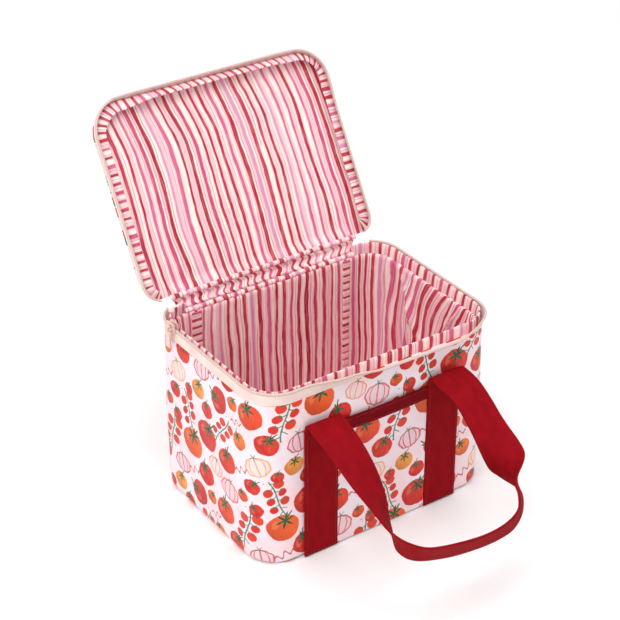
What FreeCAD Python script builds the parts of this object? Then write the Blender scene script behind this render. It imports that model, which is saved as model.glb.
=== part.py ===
import FreeCAD, Part
import math
import os

from FreeCAD import Placement, Rotation, Vector

# A soft insulated cooler bag: a padded box with rounded upright corners, a padded lid on a
# fabric hinge strip, a zip round three sides and a webbing carry handle on each long side.
# The origin is the middle of the base's underside. +X runs to the right along the front, the
# front faces -Y and +Z is up. All sizes are in millimetres and angles in degrees.

SIZES = {
    # the padded box
    "body_width": 240,
    "body_depth": 172,
    "wall_height": 160,
    "corner_radius": 30,
    "back_seam_half": 90,
    # the layers of every wall, as distances in from the outer face
    "layer_gap": 0.1,
    "outer_inset": 0,
    "outer_thick": 1,
    "foam_inset": 1.1,
    "foam_thick": 5,
    "lining_inset": 6.2,
    "lining_thick": 0.7,
    # the bound seams inside the box
    "seam_inset": 7,
    "seam_thick": 2,
    "seam_half": 79.5,
    "seam_width": 10,
    "base_seam_tall": 8,
    # the rim: a bound edge standing on the wall, with half of the zip outside it
    "rim_inset": 3.4,
    "rim_thick": 2.4,
    "rim_tall": 11.5,
    "tape_inset": 0.1,
    "tape_thick": 0.8,
    "tape_tall": 9.5,
    "coil_inset": -0.5,
    "coil_thick": 2,
    "coil_tall": 3,
    "coil_gap": 1.8,
    "lid_tape_tall": 4.2,
    "lid_rim_tall": 6.5,
    "tab_wide": 5,
    "tab_gap": 0.6,
    # the lid's panel
    "lid_thick": 7.2,
    "lid_setback": 1.5,
    # the hinge strip between the box and the lid
    "strip_half": 88,
    "strip_end": 0.7,
    "strip_inset": 0.8,
    "hinge_rise": 1.6,
    "hinge_bead": 3.4,
    "strip_lean": 31,
    "lid_swing": 90,
    # the webbing handles
    "webbing_wide": 34,
    "webbing_thick": 2.2,
    "leg_thick": 1.8,
    "leg_half": 63,
    "leg_foot": 1.2,
    "leg_top": 129,
    "fold_height": 133,
    "fold_out": 5,
    "handle_reach": 141,
    "handle_skew": 10,
    "handle_droop": 35,
    "back_reach": 112,
    "back_fold_radius": 12,
    # the slip pocket between the front handle's legs
    "pocket_top": 115,
    "pocket_thick": 1,
    "pocket_trim_tall": 12,
    "pocket_trim_thick": 1.6,
    # the zip's slider and its pull
    "slider_y": 50,
    "slider_long": 11,
    "slider_tall": 8.4,
    "slider_plate": 0.8,
    "slider_slack": 0.4,
    "post_long": 3,
    "post_tall": 1,
    "bridge_out": 2.9,
    "bridge_long": 7,
    "bridge_radius": 0.7,
    "pull_eye_radius": 1,
    "pull_eye_wall": 0.8,
    "pull_wide": 6.5,
    "pull_eye_wide": 4,
    "pull_long": 18,
    "pull_thick": 1.4,
}

doc = FreeCAD.newDocument("cooler_bag")
sheet = doc.addObject("Spreadsheet::Sheet", "Sizes")
for row, (alias, value) in enumerate(SIZES.items(), start=1):
    sheet.set(f"A{row}", alias)
    sheet.set(f"B{row}", str(value))
    sheet.setAlias(f"B{row}", alias)
doc.recompute()

pieces = []


def size(alias):
    return float(sheet.get(alias))


def bind(text):
    """Write an expression for the sheet: each alias in the text becomes a reference to its cell."""
    words = text.replace("(", " ( ").replace(")", " ) ").split()
    return " ".join(f"Sizes.{word}" if word in SIZES else word for word in words)


def keep(obj, label):
    """Name a finished sub-part. Its label is also the name of its file."""
    obj.Label = label
    pieces.append(obj)
    return obj


# ---------------------------------------------------------------- building blocks


def block(name, low, high):
    """A box between two corners, each given as three expressions of the sheet's aliases."""
    box = doc.addObject("Part::Box", name)
    for side, axis, start, end in zip(("Length", "Width", "Height"), "xyz", low, high):
        box.setExpression(side, bind(f"( {end} ) - ( {start} )"))
        box.setExpression(f"Placement.Base.{axis}", bind(start))
    doc.recompute()
    return box


def round_uprights(name, box, radius):
    """Round a box's four upright edges."""
    uprights = []
    for index, edge in enumerate(box.Shape.Edges, start=1):
        if abs(edge.tangentAt(edge.FirstParameter).z) > 0.99:
            uprights.append((index, radius, radius))
    fillet = doc.addObject("Part::Fillet", name)
    fillet.Base = box
    fillet.Edges = uprights
    doc.recompute()
    return fillet


def plan_block(name, inset, radius_inset, bottom, top, back="body_depth / 2"):
    """The bag's rounded plan, set in by an inset all round, between two heights."""
    low = (f"{inset} - body_width / 2", f"{inset} - body_depth / 2", bottom)
    high = (f"body_width / 2 - ( {inset} )", f"{back} - ( {inset} )", top)
    box = block(f"{name}_box", low, high)
    return round_uprights(f"{name}_plan", box, size("corner_radius") - radius_inset)


def cut(name, base, tool):
    result = doc.addObject("Part::Cut", name)
    result.Base = base
    result.Tool = tool
    doc.recompute()
    return result


def fuse(name, *members):
    result = doc.addObject("Part::MultiFuse", name)
    result.Shapes = list(members)
    doc.recompute()
    return result


def ring(name, inset, thick, bottom, top, back="body_depth / 2"):
    """A wall that follows the bag's plan all the way round."""
    outside = plan_block(f"{name}_out", inset, size(inset), bottom, top, back)
    inner_inset = size(inset) + size(thick)
    inside = plan_block(f"{name}_in", f"{inset} + {thick}", inner_inset, bottom, top, back)
    return cut(f"{name}_ring", outside, inside)


def open_back(name, whole, half, bottom, top):
    """Take the straight stretch at the back out of a ring, so that a panel can close it."""
    low = (f"0 - {half}", "body_depth / 4", bottom)
    high = (half, "body_depth", top)
    return cut(f"{name}_open", whole, block(f"{name}_window", low, high))


def swing(axis_y, axis_z, degrees):
    """A turn about an axis along X. A positive angle opens the lid."""
    turn = Rotation(Vector(-1, 0, 0), degrees)
    return Placement(Vector(0, 0, 0), turn, Vector(0, axis_y, axis_z))


# ---------------------------------------------------------------- heights and hinge lines

WALL_HEAD = "wall_height"
COIL_FOOT = "wall_height + tape_tall"
COIL_HEAD = "wall_height + tape_tall + coil_tall"
LID_COIL_FOOT = f"{COIL_HEAD} + coil_gap"
LID_COIL_HEAD = f"{LID_COIL_FOOT} + coil_tall"
LID_FLOOR = f"{LID_COIL_HEAD} + lid_tape_tall"
LID_BACK = "body_depth / 2 - strip_inset - lid_setback"

lid_floor_height = sum(size(part) for part in ("wall_height", "tape_tall", "coil_gap", "lid_tape_tall"))
lid_floor_height += 2 * size("coil_tall")
lower_hinge_y = size("body_depth") / 2 - size("strip_inset")
lower_hinge_z = size("wall_height") + size("hinge_rise")
upper_hinge_z = lid_floor_height - size("hinge_rise")

strip_open = swing(lower_hinge_y, lower_hinge_z, size("strip_lean"))
lid_open = strip_open.multiply(swing(lower_hinge_y, upper_hinge_z, size("lid_swing")))


# ---------------------------------------------------------------- the padded box


def wall_layer(layer, inset, thick, foot):
    """One layer of the walls: a wrap for the front, sides and corners, and a back panel."""
    whole = ring(layer, inset, thick, foot, WALL_HEAD)
    wrap = open_back(layer, whole, "back_seam_half", "0", "wall_height + 1")
    keep(wrap, f"{layer}_wrap")
    low = ("layer_gap - back_seam_half", f"body_depth / 2 - {inset} - {thick}", foot)
    high = ("back_seam_half - layer_gap", f"body_depth / 2 - {inset}", WALL_HEAD)
    keep(block(f"{layer}_back_panel", low, high), f"{layer}_back")


def base_layers():
    """The base from the table up: printed fabric, foam and lining."""
    foam_foot = "outer_thick + layer_gap"
    foam_head = f"{foam_foot} + foam_thick"
    lining_foot = f"{foam_head} + layer_gap"
    lining_head = f"{lining_foot} + lining_thick"
    keep(plan_block("base_outer", "outer_inset", 0, "0", "outer_thick"), "outer_base")
    inset = "lining_inset"
    keep(plan_block("base_foam", inset, size(inset), foam_foot, foam_head), "foam_base")
    keep(plan_block("base_lining", inset, size(inset), lining_foot, lining_head), "lining_base")
    return f"{lining_head} + layer_gap"


def seam_bindings(floor):
    """The striped tapes that bind the seams inside the box: round the base and up the back."""
    head = f"{floor} + base_seam_tall"
    keep(ring("base_seam", "seam_inset", "seam_thick", floor, head), "base_seam_binding")
    inner = "body_depth / 2 - seam_inset"
    for side, sign in (("left", "0 -"), ("right", "")):
        middle = f"{sign} seam_half"
        low = (f"{middle} - seam_width / 2", f"{inner} - seam_thick", f"{head} + layer_gap")
        high = (f"{middle} + seam_width / 2", inner, WALL_HEAD)
        keep(block(f"seam_{side}", low, high), f"back_seam_binding_{side}")


def lower_rim():
    """The bound edge on top of the wall, and the half of the zip that stays on the box."""
    foot = "wall_height + layer_gap"
    rows = (
        ("rim_binding", "rim_inset", "rim_thick", foot, "wall_height + rim_tall"),
        ("zip_tape_lower", "tape_inset", "tape_thick", foot, COIL_FOOT),
        ("zip_coil_lower", "coil_inset", "coil_thick", COIL_FOOT, COIL_HEAD),
    )
    for label, inset, thick, bottom, top in rows:
        whole = ring(label, inset, thick, bottom, top)
        keep(open_back(label, whole, "back_seam_half", bottom, top), label)
    inner = "body_depth / 2 - tape_inset - tape_thick - tab_gap"
    for side, start, end in (
        ("left", "0 - back_seam_half - tab_wide", "0 - back_seam_half"),
        ("right", "back_seam_half", "back_seam_half + tab_wide"),
    ):
        low = (start, f"{inner} - tape_thick", foot)
        high = (end, inner, f"{COIL_FOOT} - layer_gap")
        keep(block(f"tab_{side}", low, high), f"zip_end_tab_{side}")


def hinge_bead_lower():
    """The bound seam along the top of the back wall, just inside the hinge strip."""
    low = ("0 - strip_half", "body_depth / 2 - lining_inset - lining_thick", "wall_height + layer_gap")
    high = ("strip_half", "body_depth / 2 - rim_inset", "wall_height + hinge_bead")
    keep(block("bead_low", low, high), "hinge_binding_lower")


# ---------------------------------------------------------------- the hinge strip and lid


def hinge_strip():
    """A two-layer fabric strip that joins the back wall to the lid, leaning back when open."""
    middle = "body_depth / 2 - strip_inset"
    foot = "wall_height + hinge_rise + strip_end"
    head = f"{LID_FLOOR} - hinge_rise - strip_end"
    outer = block(
        "strip_outside",
        ("0 - strip_half", f"{middle} + layer_gap / 2", foot),
        ("strip_half", f"{middle} + strip_inset", head),
    )
    lining = block(
        "strip_inside",
        ("0 - strip_half", f"{middle} - strip_inset", foot),
        ("strip_half", f"{middle} - layer_gap / 2", head),
    )
    for layer, label in ((outer, "hinge_strip_outer"), (lining, "hinge_strip_lining")):
        closed = Part.Shape(layer.Shape)
        piece = doc.addObject("Part::Feature", f"{label}_piece")
        piece.Shape = closed
        piece.Placement = strip_open.multiply(layer.Placement)
        keep(piece, label)


def lid_panel():
    """The lid's padded panel: a printed tray over foam, with the striped lining below."""
    foam_foot = f"{LID_FLOOR} + lining_thick + layer_gap"
    foam_head = f"{foam_foot} + foam_thick"
    head = f"{LID_FLOOR} + lid_thick"
    block_out = plan_block("lid_shell", "outer_inset", 0, LID_FLOOR, head, LID_BACK)
    hollow = plan_block("lid_hollow", "foam_inset", size("foam_inset"), LID_FLOOR,
                        f"{foam_head} + layer_gap", LID_BACK)
    tray = cut("lid_tray", block_out, hollow)
    inset = "foam_inset + layer_gap"
    radius_inset = size("foam_inset") + size("layer_gap")
    foam = plan_block("lid_pad", inset, radius_inset, foam_foot, foam_head, LID_BACK)
    lining_top = f"{LID_FLOOR} + lining_thick"
    lining = plan_block("lid_sheet", inset, radius_inset, LID_FLOOR, lining_top, LID_BACK)
    return (tray, "lid_outer"), (foam, "lid_foam"), (lining, "lid_lining")


def upper_rim():
    """The bound edge under the lid, and the half of the zip that lifts with it."""
    head = f"{LID_FLOOR} - layer_gap"
    rows = (
        ("lid_binding", "rim_inset", "rim_thick", f"{LID_FLOOR} - lid_rim_tall", head),
        ("zip_tape_upper", "tape_inset", "tape_thick", LID_COIL_HEAD, head),
        ("zip_coil_upper", "coil_inset", "coil_thick", LID_COIL_FOOT, LID_COIL_HEAD),
    )
    for label, inset, thick, bottom, top in rows:
        whole = ring(label, inset, thick, bottom, top, LID_BACK)
        yield open_back(label, whole, "back_seam_half", bottom, top), label


def hinge_bead_upper():
    """The bound seam along the lid's hinge edge."""
    low = ("0 - strip_half", "body_depth / 2 - lining_inset - lining_thick",
           f"{LID_FLOOR} - hinge_bead")
    high = ("strip_half", "body_depth / 2 - rim_inset", f"{LID_FLOOR} - layer_gap")
    return block("bead_high", low, high), "hinge_binding_upper"


def lid():
    """Every piece of the lid, modelled shut and then swung open about both hinge lines."""
    for closed, label in (*lid_panel(), *upper_rim(), hinge_bead_upper()):
        piece = doc.addObject("Part::Feature", f"{label}_piece")
        piece.Shape = Part.Shape(closed.Shape)
        piece.Placement = lid_open.multiply(closed.Placement)
        keep(piece, label)


# ---------------------------------------------------------------- handles and pocket


def handle_legs():
    """The four webbing legs sewn flat to the front and back, from the base to near the rim."""
    faces = (
        ("front", "0 - body_depth / 2 - layer_gap - leg_thick", "0 - body_depth / 2 - layer_gap"),
        ("back", "body_depth / 2 + layer_gap", "body_depth / 2 + layer_gap + leg_thick"),
    )
    for face, near, far in faces:
        for side, middle in (("left", "0 - leg_half"), ("right", "leg_half")):
            low = (f"{middle} - webbing_wide / 2", near, "leg_foot")
            high = (f"{middle} + webbing_wide / 2", far, "leg_top")
            keep(block(f"leg_{face}_{side}", low, high), f"{face}_leg_{side}")


def front_pocket():
    """A slip pocket between the front legs: a printed panel with webbing-red trim on its mouth."""
    edge = "leg_half - webbing_wide / 2 - layer_gap"
    wall = "0 - body_depth / 2"
    panel = block(
        "pocket_sheet",
        (f"0 - ( {edge} )", f"{wall} - 4 * layer_gap - pocket_thick", "leg_foot"),
        (edge, f"{wall} - 4 * layer_gap", "pocket_top"),
    )
    trim = block(
        "pocket_mouth",
        (f"0 - ( {edge} )", f"{wall} - 4 * layer_gap - pocket_trim_thick", "pocket_top + layer_gap"),
        (edge, f"{wall} - 4 * layer_gap", "pocket_top + pocket_trim_tall"),
    )
    keep(panel, "pocket_panel")
    keep(trim, "pocket_trim")


def smooth_step(value, start, end):
    """0 before start, 1 after end and a smooth rise between them."""
    part = min(max((value - start) / (end - start), 0), 1)
    return part * part * (3 - 2 * part)


def front_handle():
    """The front loop: webbing that leaves the fold flat, turns on edge at its corners and
    crosses the front on edge. The centre line is a squared oval, drawn in the loop's plane."""
    half, reach = size("leg_half"), size("handle_reach")
    squareness, turns = 3, 36
    start_gap = 1.5
    twist_from, twist_to = 0.35 * reach, 0.82 * reach
    hinge = Vector(0, -size("body_depth") / 2 - size("fold_out"), size("fold_height"))

    def centre(turn):
        angle = math.pi * turn / turns
        across = math.copysign(abs(math.cos(angle)) ** (2 / squareness), -math.cos(angle))
        out = start_gap + (reach - start_gap) * math.sin(angle) ** (2 / squareness)
        return Vector(half * across - size("handle_skew") * out / reach, out, 0)

    def section(turn):
        here = centre(turn)
        along = centre(min(turn + 0.5, turns)) - centre(max(turn - 0.5, 0))
        along.normalize()
        if turn in (0, turns):
            along = Vector(0, 1 if turn == 0 else -1, 0)
        beside = Vector(along.y, -along.x, 0)
        on_edge = math.radians(90) * smooth_step(here.y, twist_from, twist_to)
        wide = beside * math.cos(on_edge) + Vector(0, 0, math.sin(on_edge))
        thin = along.cross(wide)
        wide *= size("webbing_wide") / 2
        thin *= size("webbing_thick") / 2
        corners = [here + wide + thin, here - wide + thin, here - wide - thin, here + wide - thin]
        return Part.makePolygon(corners + corners[:1])

    # the loop's own frame has +Y away from the fold, so it is turned to face the front
    loop = Part.makeLoft([section(turn) for turn in range(turns + 1)], True, True)
    piece = doc.addObject("Part::Feature", "front_loop")
    piece.Shape = loop
    facing = Rotation(Vector(1, 0, 0), size("handle_droop")).multiply(Rotation(Vector(0, 0, 1), 180))
    piece.Placement = Placement(hinge, facing)
    keep(piece, "front_handle_loop")


def back_handle():
    """The back loop, hanging flat behind the bag with its corners folded square."""
    out = "body_depth / 2 + fold_out"
    near, far = f"{out} - webbing_thick / 2", f"{out} + webbing_thick / 2"
    foot = "fold_height - back_reach"
    inner, outer = "leg_half - webbing_wide / 2", "leg_half + webbing_wide / 2"
    whole = block(
        "back_loop_sheet",
        (f"0 - ( {outer} )", near, f"{foot} - webbing_wide / 2"),
        (outer, far, "fold_height - hinge_rise"),
    )
    opening = block(
        "back_loop_opening",
        (f"0 - ( {inner} )", f"{near} - 1", f"{foot} + webbing_wide / 2"),
        (inner, f"{far} + 1", "fold_height + 1"),
    )
    loop = cut("back_loop_cut", whole, opening)
    low_corners = []
    for index, edge in enumerate(loop.Shape.Edges, start=1):
        level = edge.BoundBox.ZMax
        runs_through = abs(edge.tangentAt(edge.FirstParameter).y) > 0.99
        if runs_through and level < size("fold_height") - size("back_reach"):
            radius = size("back_fold_radius") + size("webbing_wide")
            low_corners.append((index, radius, radius))
        elif runs_through and level < size("fold_height") / 2:
            low_corners.append((index, size("back_fold_radius"), size("back_fold_radius")))
    rounded = doc.addObject("Part::Fillet", "back_loop")
    rounded.Base = loop
    rounded.Edges = low_corners
    doc.recompute()
    keep(rounded, "back_handle_loop")


# ---------------------------------------------------------------- the zip's slider and pull


def zip_slider():
    """The slider at the open end of the zip: two plates either side of the coils, a post
    between the coils and a bridge outside for the pull."""
    coil_out = "0 - body_width / 2 + coil_inset"
    coil_in = f"{coil_out} + coil_thick"
    level = f"{COIL_HEAD} + coil_gap / 2"
    start, end = "slider_y - slider_long / 2", "slider_y + slider_long / 2"
    foot, head = f"{level} - slider_tall / 2", f"{level} + slider_tall / 2"
    outer = block(
        "slider_outside",
        (f"{coil_out} - slider_slack - slider_plate", start, foot),
        (f"{coil_out} - slider_slack", end, head),
    )
    inner = block(
        "slider_inside",
        (f"{coil_in} + slider_slack", start, foot),
        (f"{coil_in} + slider_slack + slider_plate", end, head),
    )
    post = block(
        "slider_post",
        (f"{coil_out} - slider_slack", f"{end} - post_long", f"{level} - post_tall / 2"),
        (f"{coil_in} + slider_slack", end, f"{level} + post_tall / 2"),
    )
    plate_face = f"{coil_out} - slider_slack - slider_plate"
    feet = []
    for name, foot_y in (("far", "slider_y + bridge_long / 2 - 1"), ("near", "slider_y - bridge_long / 2")):
        feet.append(block(
            f"bridge_foot_{name}",
            (f"{plate_face} - bridge_out - bridge_radius", foot_y, f"{level} - bridge_radius"),
            (plate_face, f"{foot_y} + 1", f"{level} + bridge_radius"),
        ))
    bar = doc.addObject("Part::Cylinder", "bridge_bar")
    bar.setExpression("Radius", bind("bridge_radius"))
    bar.setExpression("Height", bind("bridge_long"))
    bar.setExpression("Placement.Base.x", bind(f"{plate_face} - bridge_out"))
    bar.setExpression("Placement.Base.y", bind("slider_y + bridge_long / 2"))
    bar.setExpression("Placement.Base.z", bind(level))
    bar.Placement.Rotation = Rotation(Vector(1, 0, 0), 90)
    keep(fuse("slider_body", outer, inner, post, *feet, bar), "zip_slider")


def zip_pull():
    """The pull: a flat tab with a narrower neck and an eye that turns on the slider's bridge."""
    body = doc.addObject("PartDesign::Body", "pull_body")
    plane = next(item for item in body.Origin.OriginFeatures if item.Role == "YZ_Plane")
    outline = body.newObject("Sketcher::SketchObject", "pull_outline")
    outline.AttachmentSupport = [(plane, "")]
    outline.MapMode = "FlatFace"
    neck, half = size("pull_eye_wide") / 2, size("pull_wide") / 2
    eye = size("pull_eye_radius") + size("pull_eye_wall")
    shoulder, tip = -eye - 3, -size("pull_long")
    points = [(-neck, eye), (neck, eye), (neck, -eye), (half, shoulder),
              (half, tip), (-half, tip), (-half, shoulder), (-neck, -eye)]
    corners = [Vector(across, up, 0) for across, up in points]
    for start, end in zip(corners, corners[1:] + corners[:1]):
        outline.addGeometry(Part.LineSegment(start, end))
    pad = body.newObject("PartDesign::Pad", "pull_pad")
    pad.Profile = outline
    pad.setExpression("Length", bind("2 * ( pull_eye_radius + pull_eye_wall )"))
    pad.Midplane = True
    doc.recompute()
    face = next(item for item in body.Origin.OriginFeatures if item.Role == "XZ_Plane")
    eye_sketch = body.newObject("Sketcher::SketchObject", "pull_eye")
    eye_sketch.AttachmentSupport = [(face, "")]
    eye_sketch.MapMode = "FlatFace"
    eye_sketch.addGeometry(Part.Circle(Vector(0, 0, 0), Vector(0, 0, 1), size("pull_eye_radius")))
    thin = size("pull_thick") / 2
    for side in (-1, 1):
        start, end = thin * side, (eye + 1) * side
        corners = [Vector(start, -eye, 0), Vector(end, -eye, 0), Vector(end, tip - 1, 0),
                   Vector(start, tip - 1, 0)]
        for here, there in zip(corners, corners[1:] + corners[:1]):
            eye_sketch.addGeometry(Part.LineSegment(here, there))
    pocket = body.newObject("PartDesign::Pocket", "pull_thinned")
    pocket.Profile = eye_sketch
    pocket.Type = 1
    pocket.Midplane = True
    before = pad.Shape.Volume
    doc.recompute()
    if not pocket.Shape.Volume < before:
        raise RuntimeError("the pull's eye wasn't cut")
    plate_face = -size("body_width") / 2 + size("coil_inset") - size("slider_slack") - size("slider_plate")
    level = size("wall_height") + size("tape_tall") + size("coil_tall") + size("coil_gap") / 2
    body.Placement = Placement(Vector(plate_face - size("bridge_out"), size("slider_y"), level), Rotation())
    keep(body, "zip_pull")


# ---------------------------------------------------------------- build, check and write


def build():
    wall_layer("outer", "outer_inset", "outer_thick", "outer_thick + layer_gap")
    wall_layer("foam", "foam_inset", "foam_thick", "outer_thick + layer_gap")
    cavity_floor = base_layers()
    wall_layer("lining", "lining_inset", "lining_thick", cavity_floor)
    seam_bindings(cavity_floor)
    lower_rim()
    hinge_bead_lower()
    hinge_strip()
    lid()
    handle_legs()
    front_pocket()
    front_handle()
    back_handle()
    zip_slider()
    zip_pull()
    doc.recompute()


def check():
    for obj in doc.Objects:
        faults = [state for state in obj.State if state in ("Invalid", "Error")]
        if faults:
            raise RuntimeError(f"{obj.Label} is {faults}")
    for piece in pieces:
        shape = piece.Shape
        if shape.isNull() or not shape.isValid() or shape.Volume <= 0:
            raise RuntimeError(f"{piece.Label} has no valid solid")


def write():
    os.makedirs("parts", exist_ok=True)
    for piece in pieces:
        piece.Shape.exportStep(os.path.join("parts", f"{piece.Label}.step"))
        print(f"{piece.Label}: {len(piece.Shape.Solids)} solid, {piece.Shape.Volume:.0f} mm3")


build()
check()
write()
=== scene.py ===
import math

import bpy
import numpy as np
from mathutils import Matrix, Vector, noise


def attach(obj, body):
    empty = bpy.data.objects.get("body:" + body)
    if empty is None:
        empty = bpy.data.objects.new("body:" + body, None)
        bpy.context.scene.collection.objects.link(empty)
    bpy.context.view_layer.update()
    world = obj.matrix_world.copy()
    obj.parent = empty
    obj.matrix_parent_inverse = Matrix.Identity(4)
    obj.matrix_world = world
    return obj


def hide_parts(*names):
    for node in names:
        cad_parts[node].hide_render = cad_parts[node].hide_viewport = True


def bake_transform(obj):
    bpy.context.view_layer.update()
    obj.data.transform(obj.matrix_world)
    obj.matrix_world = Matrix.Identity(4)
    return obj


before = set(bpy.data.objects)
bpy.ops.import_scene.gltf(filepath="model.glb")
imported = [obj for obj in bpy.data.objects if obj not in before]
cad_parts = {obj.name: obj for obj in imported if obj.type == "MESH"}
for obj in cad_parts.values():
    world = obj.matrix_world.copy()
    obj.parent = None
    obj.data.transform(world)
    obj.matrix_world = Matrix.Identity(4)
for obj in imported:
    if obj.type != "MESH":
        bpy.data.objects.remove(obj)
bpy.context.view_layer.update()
scene = bpy.context.scene
scene.view_settings.view_transform = "Standard"

# The bag's own sizes, in metres. The origin is the middle of the base's underside, +X runs to
# the right along the front, the front faces -Y and +Z is up.
W, D, H, R = 0.240, 0.172, 0.160, 0.030
RIM_FOOT = H + 0.0003
LID_FLOOR, LID_HEAD, LID_BACK = 0.1815, 0.1887, 0.0837
LOWER_HINGE = Vector((0, 0.0852, 0.1616))
UPPER_HINGE = Vector((0, 0.0852, 0.1799))
STRIP_LEAN, LID_SWING = math.radians(31), math.radians(90)
FOLD = Vector((0, -0.091, 0.133))
BACK_FOLD = Vector((0, 0.091, 0.133))
LEG_X, WEBBING, THICK = 0.063, 0.034, 0.0021
LEG_STAND = D / 2 + 0.0011
LOOP_FOOT = 0.1270
SHEET = 0.0007
EDGE_STEPS = (0, 0.0004, 0.0012, 0.0024, 0.004, 0.006, 0.0085)


# ---------------------------------------------------------------- the bag's plan


class Plan:
    """A rounded outline. Distances run from the middle of the back, going left."""

    def __init__(self, back_radius, back):
        self.back = back
        side = D / 2 - R + back - back_radius
        corner, back_corner = math.pi / 2 * R, math.pi / 2 * back_radius
        self.open_start = W / 2 - back_radius
        self.left_start = self.open_start + back_corner
        self.left_end = self.left_start + side
        self.front_start = self.left_end + corner
        self.front_end = self.front_start + W - 2 * R
        self.right_start = self.front_end + corner
        self.right_end = self.right_start + side
        self.open_end = self.right_end + back_corner
        self.around = self.open_end + self.open_start
        self.middle = self.around / 2
        self.runs = (
            (self.open_start, 0), (back_corner, back_radius), (side, 0), (corner, R), (W - 2 * R, 0),
            (corner, R), (side, 0), (back_corner, back_radius), (self.open_start, 0),
        )

    def at(self, s):
        """x, y and the outward normal at distance s."""
        x, y, heading = 0.0, self.back, math.pi
        left = s % self.around
        for length, radius in self.runs:
            step = min(left, length)
            if radius:
                end = heading + step / radius
                x += radius * (math.sin(end) - math.sin(heading))
                y += radius * (math.cos(heading) - math.cos(end))
                heading = end
            else:
                x += step * math.cos(heading)
                y += step * math.sin(heading)
            left -= step
            if left <= 0:
                break
        return x, y, math.sin(heading), -math.cos(heading)


BAG = Plan(R, D / 2)
LID = Plan(0.016, LID_BACK + 0.0065)


def stations(start, end, step):
    """Evenly spaced places from start to end, about a step apart."""
    return np.linspace(start, end, max(2, int(round((end - start) / step)) + 1))


def smooth(value, low, high):
    """0 below low, 1 above high, with an eased rise between."""
    part = min(max((value - low) / (high - low), 0.0), 1.0)
    return part * part * (3 - 2 * part)


def eased(s, keys):
    """A smooth curve through (place, value) keys."""
    if s <= keys[0][0]:
        return keys[0][1]
    for (a, low), (b, high) in zip(keys, keys[1:]):
        if s <= b:
            return low + (high - low) * smooth(s, a, b)
    return keys[-1][1]


def ripple(x, y, z, seed=0.0):
    """Smooth noise from -1 to 1, with one unit to a wave."""
    return noise.noise(Vector((x + seed * 7.3, y - seed * 3.1, z + seed * 1.7)))


# ---------------------------------------------------------------- meshes


def mesh_piece(name, verts, faces, uvs, material, sharp=38):
    """A mesh object with its cloth coordinates in metres. uvs holds a list of corners for each face."""
    mesh = bpy.data.meshes.new(name)
    mesh.from_pydata([tuple(v) for v in verts], [], faces)
    layer = mesh.uv_layers.new(name="cloth")
    layer.data.foreach_set("uv", np.array([c for f in uvs for c in f], np.float32).ravel())
    mesh.validate()
    mesh.shade_smooth()
    mesh.set_sharp_from_angle(angle=math.radians(sharp))
    mesh.materials.append(material)
    obj = bpy.data.objects.new(name, mesh)
    scene.collection.objects.link(obj)
    return obj


def swept(name, rings, along, across, material, closed=False, sharp=38):
    """Joins closed sections into a tube. along has a length for each ring, with one more for a
    closed tube, and across a length for each point of the section, with one more for its seam."""
    rings = np.asarray(rings, float)
    count, points = rings.shape[:2]
    faces, uvs = [], []
    for i in range(count if closed else count - 1):
        k = (i + 1) % count
        for j in range(points):
            m = (j + 1) % points
            faces.append((i * points + j, i * points + m, k * points + m, k * points + j))
            here, there = along[i], along[i + 1]
            uvs.append(((here, across[j]), (here, across[j + 1]), (there, across[j + 1]), (there, across[j])))
    if not closed:
        for i, order in ((0, range(points - 1, -1, -1)), (count - 1, range(points))):
            faces.append(tuple(i * points + j for j in order))
            uvs.append(tuple((along[i], across[j]) for j in order))
    return mesh_piece(name, rings.reshape(-1, 3), faces, uvs, material, sharp)


def slab(name, front, back, uv, material, sharp=38):
    """A closed sheet between two grids of points, with the front's cloth coordinates on both."""
    front, back = np.asarray(front, float), np.asarray(back, float)
    rows, cols = front.shape[:2]
    half = rows * cols
    faces, uvs = [], []

    def quad(ids, spots):
        faces.append(ids)
        uvs.append(tuple(tuple(uv[i][j]) for i, j in spots))

    for i in range(rows - 1):
        for j in range(cols - 1):
            a, b, c, d = i * cols + j, i * cols + j + 1, (i + 1) * cols + j + 1, (i + 1) * cols + j
            spots = ((i, j), (i, j + 1), (i + 1, j + 1), (i + 1, j))
            quad((a, b, c, d), spots)
            quad((half + d, half + c, half + b, half + a), spots[::-1])
    border = [(0, j) for j in range(cols)] + [(i, cols - 1) for i in range(1, rows)]
    border += [(rows - 1, j) for j in range(cols - 2, -1, -1)] + [(i, 0) for i in range(rows - 2, 0, -1)]
    for p, q in zip(border, border[1:] + border[:1]):
        a, b = p[0] * cols + p[1], q[0] * cols + q[1]
        quad((b, a, half + a, half + b), (q, p, p, q))
    verts = np.concatenate([front.reshape(-1, 3), back.reshape(-1, 3)])
    return mesh_piece(name, verts, faces, uvs, material, sharp)


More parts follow.
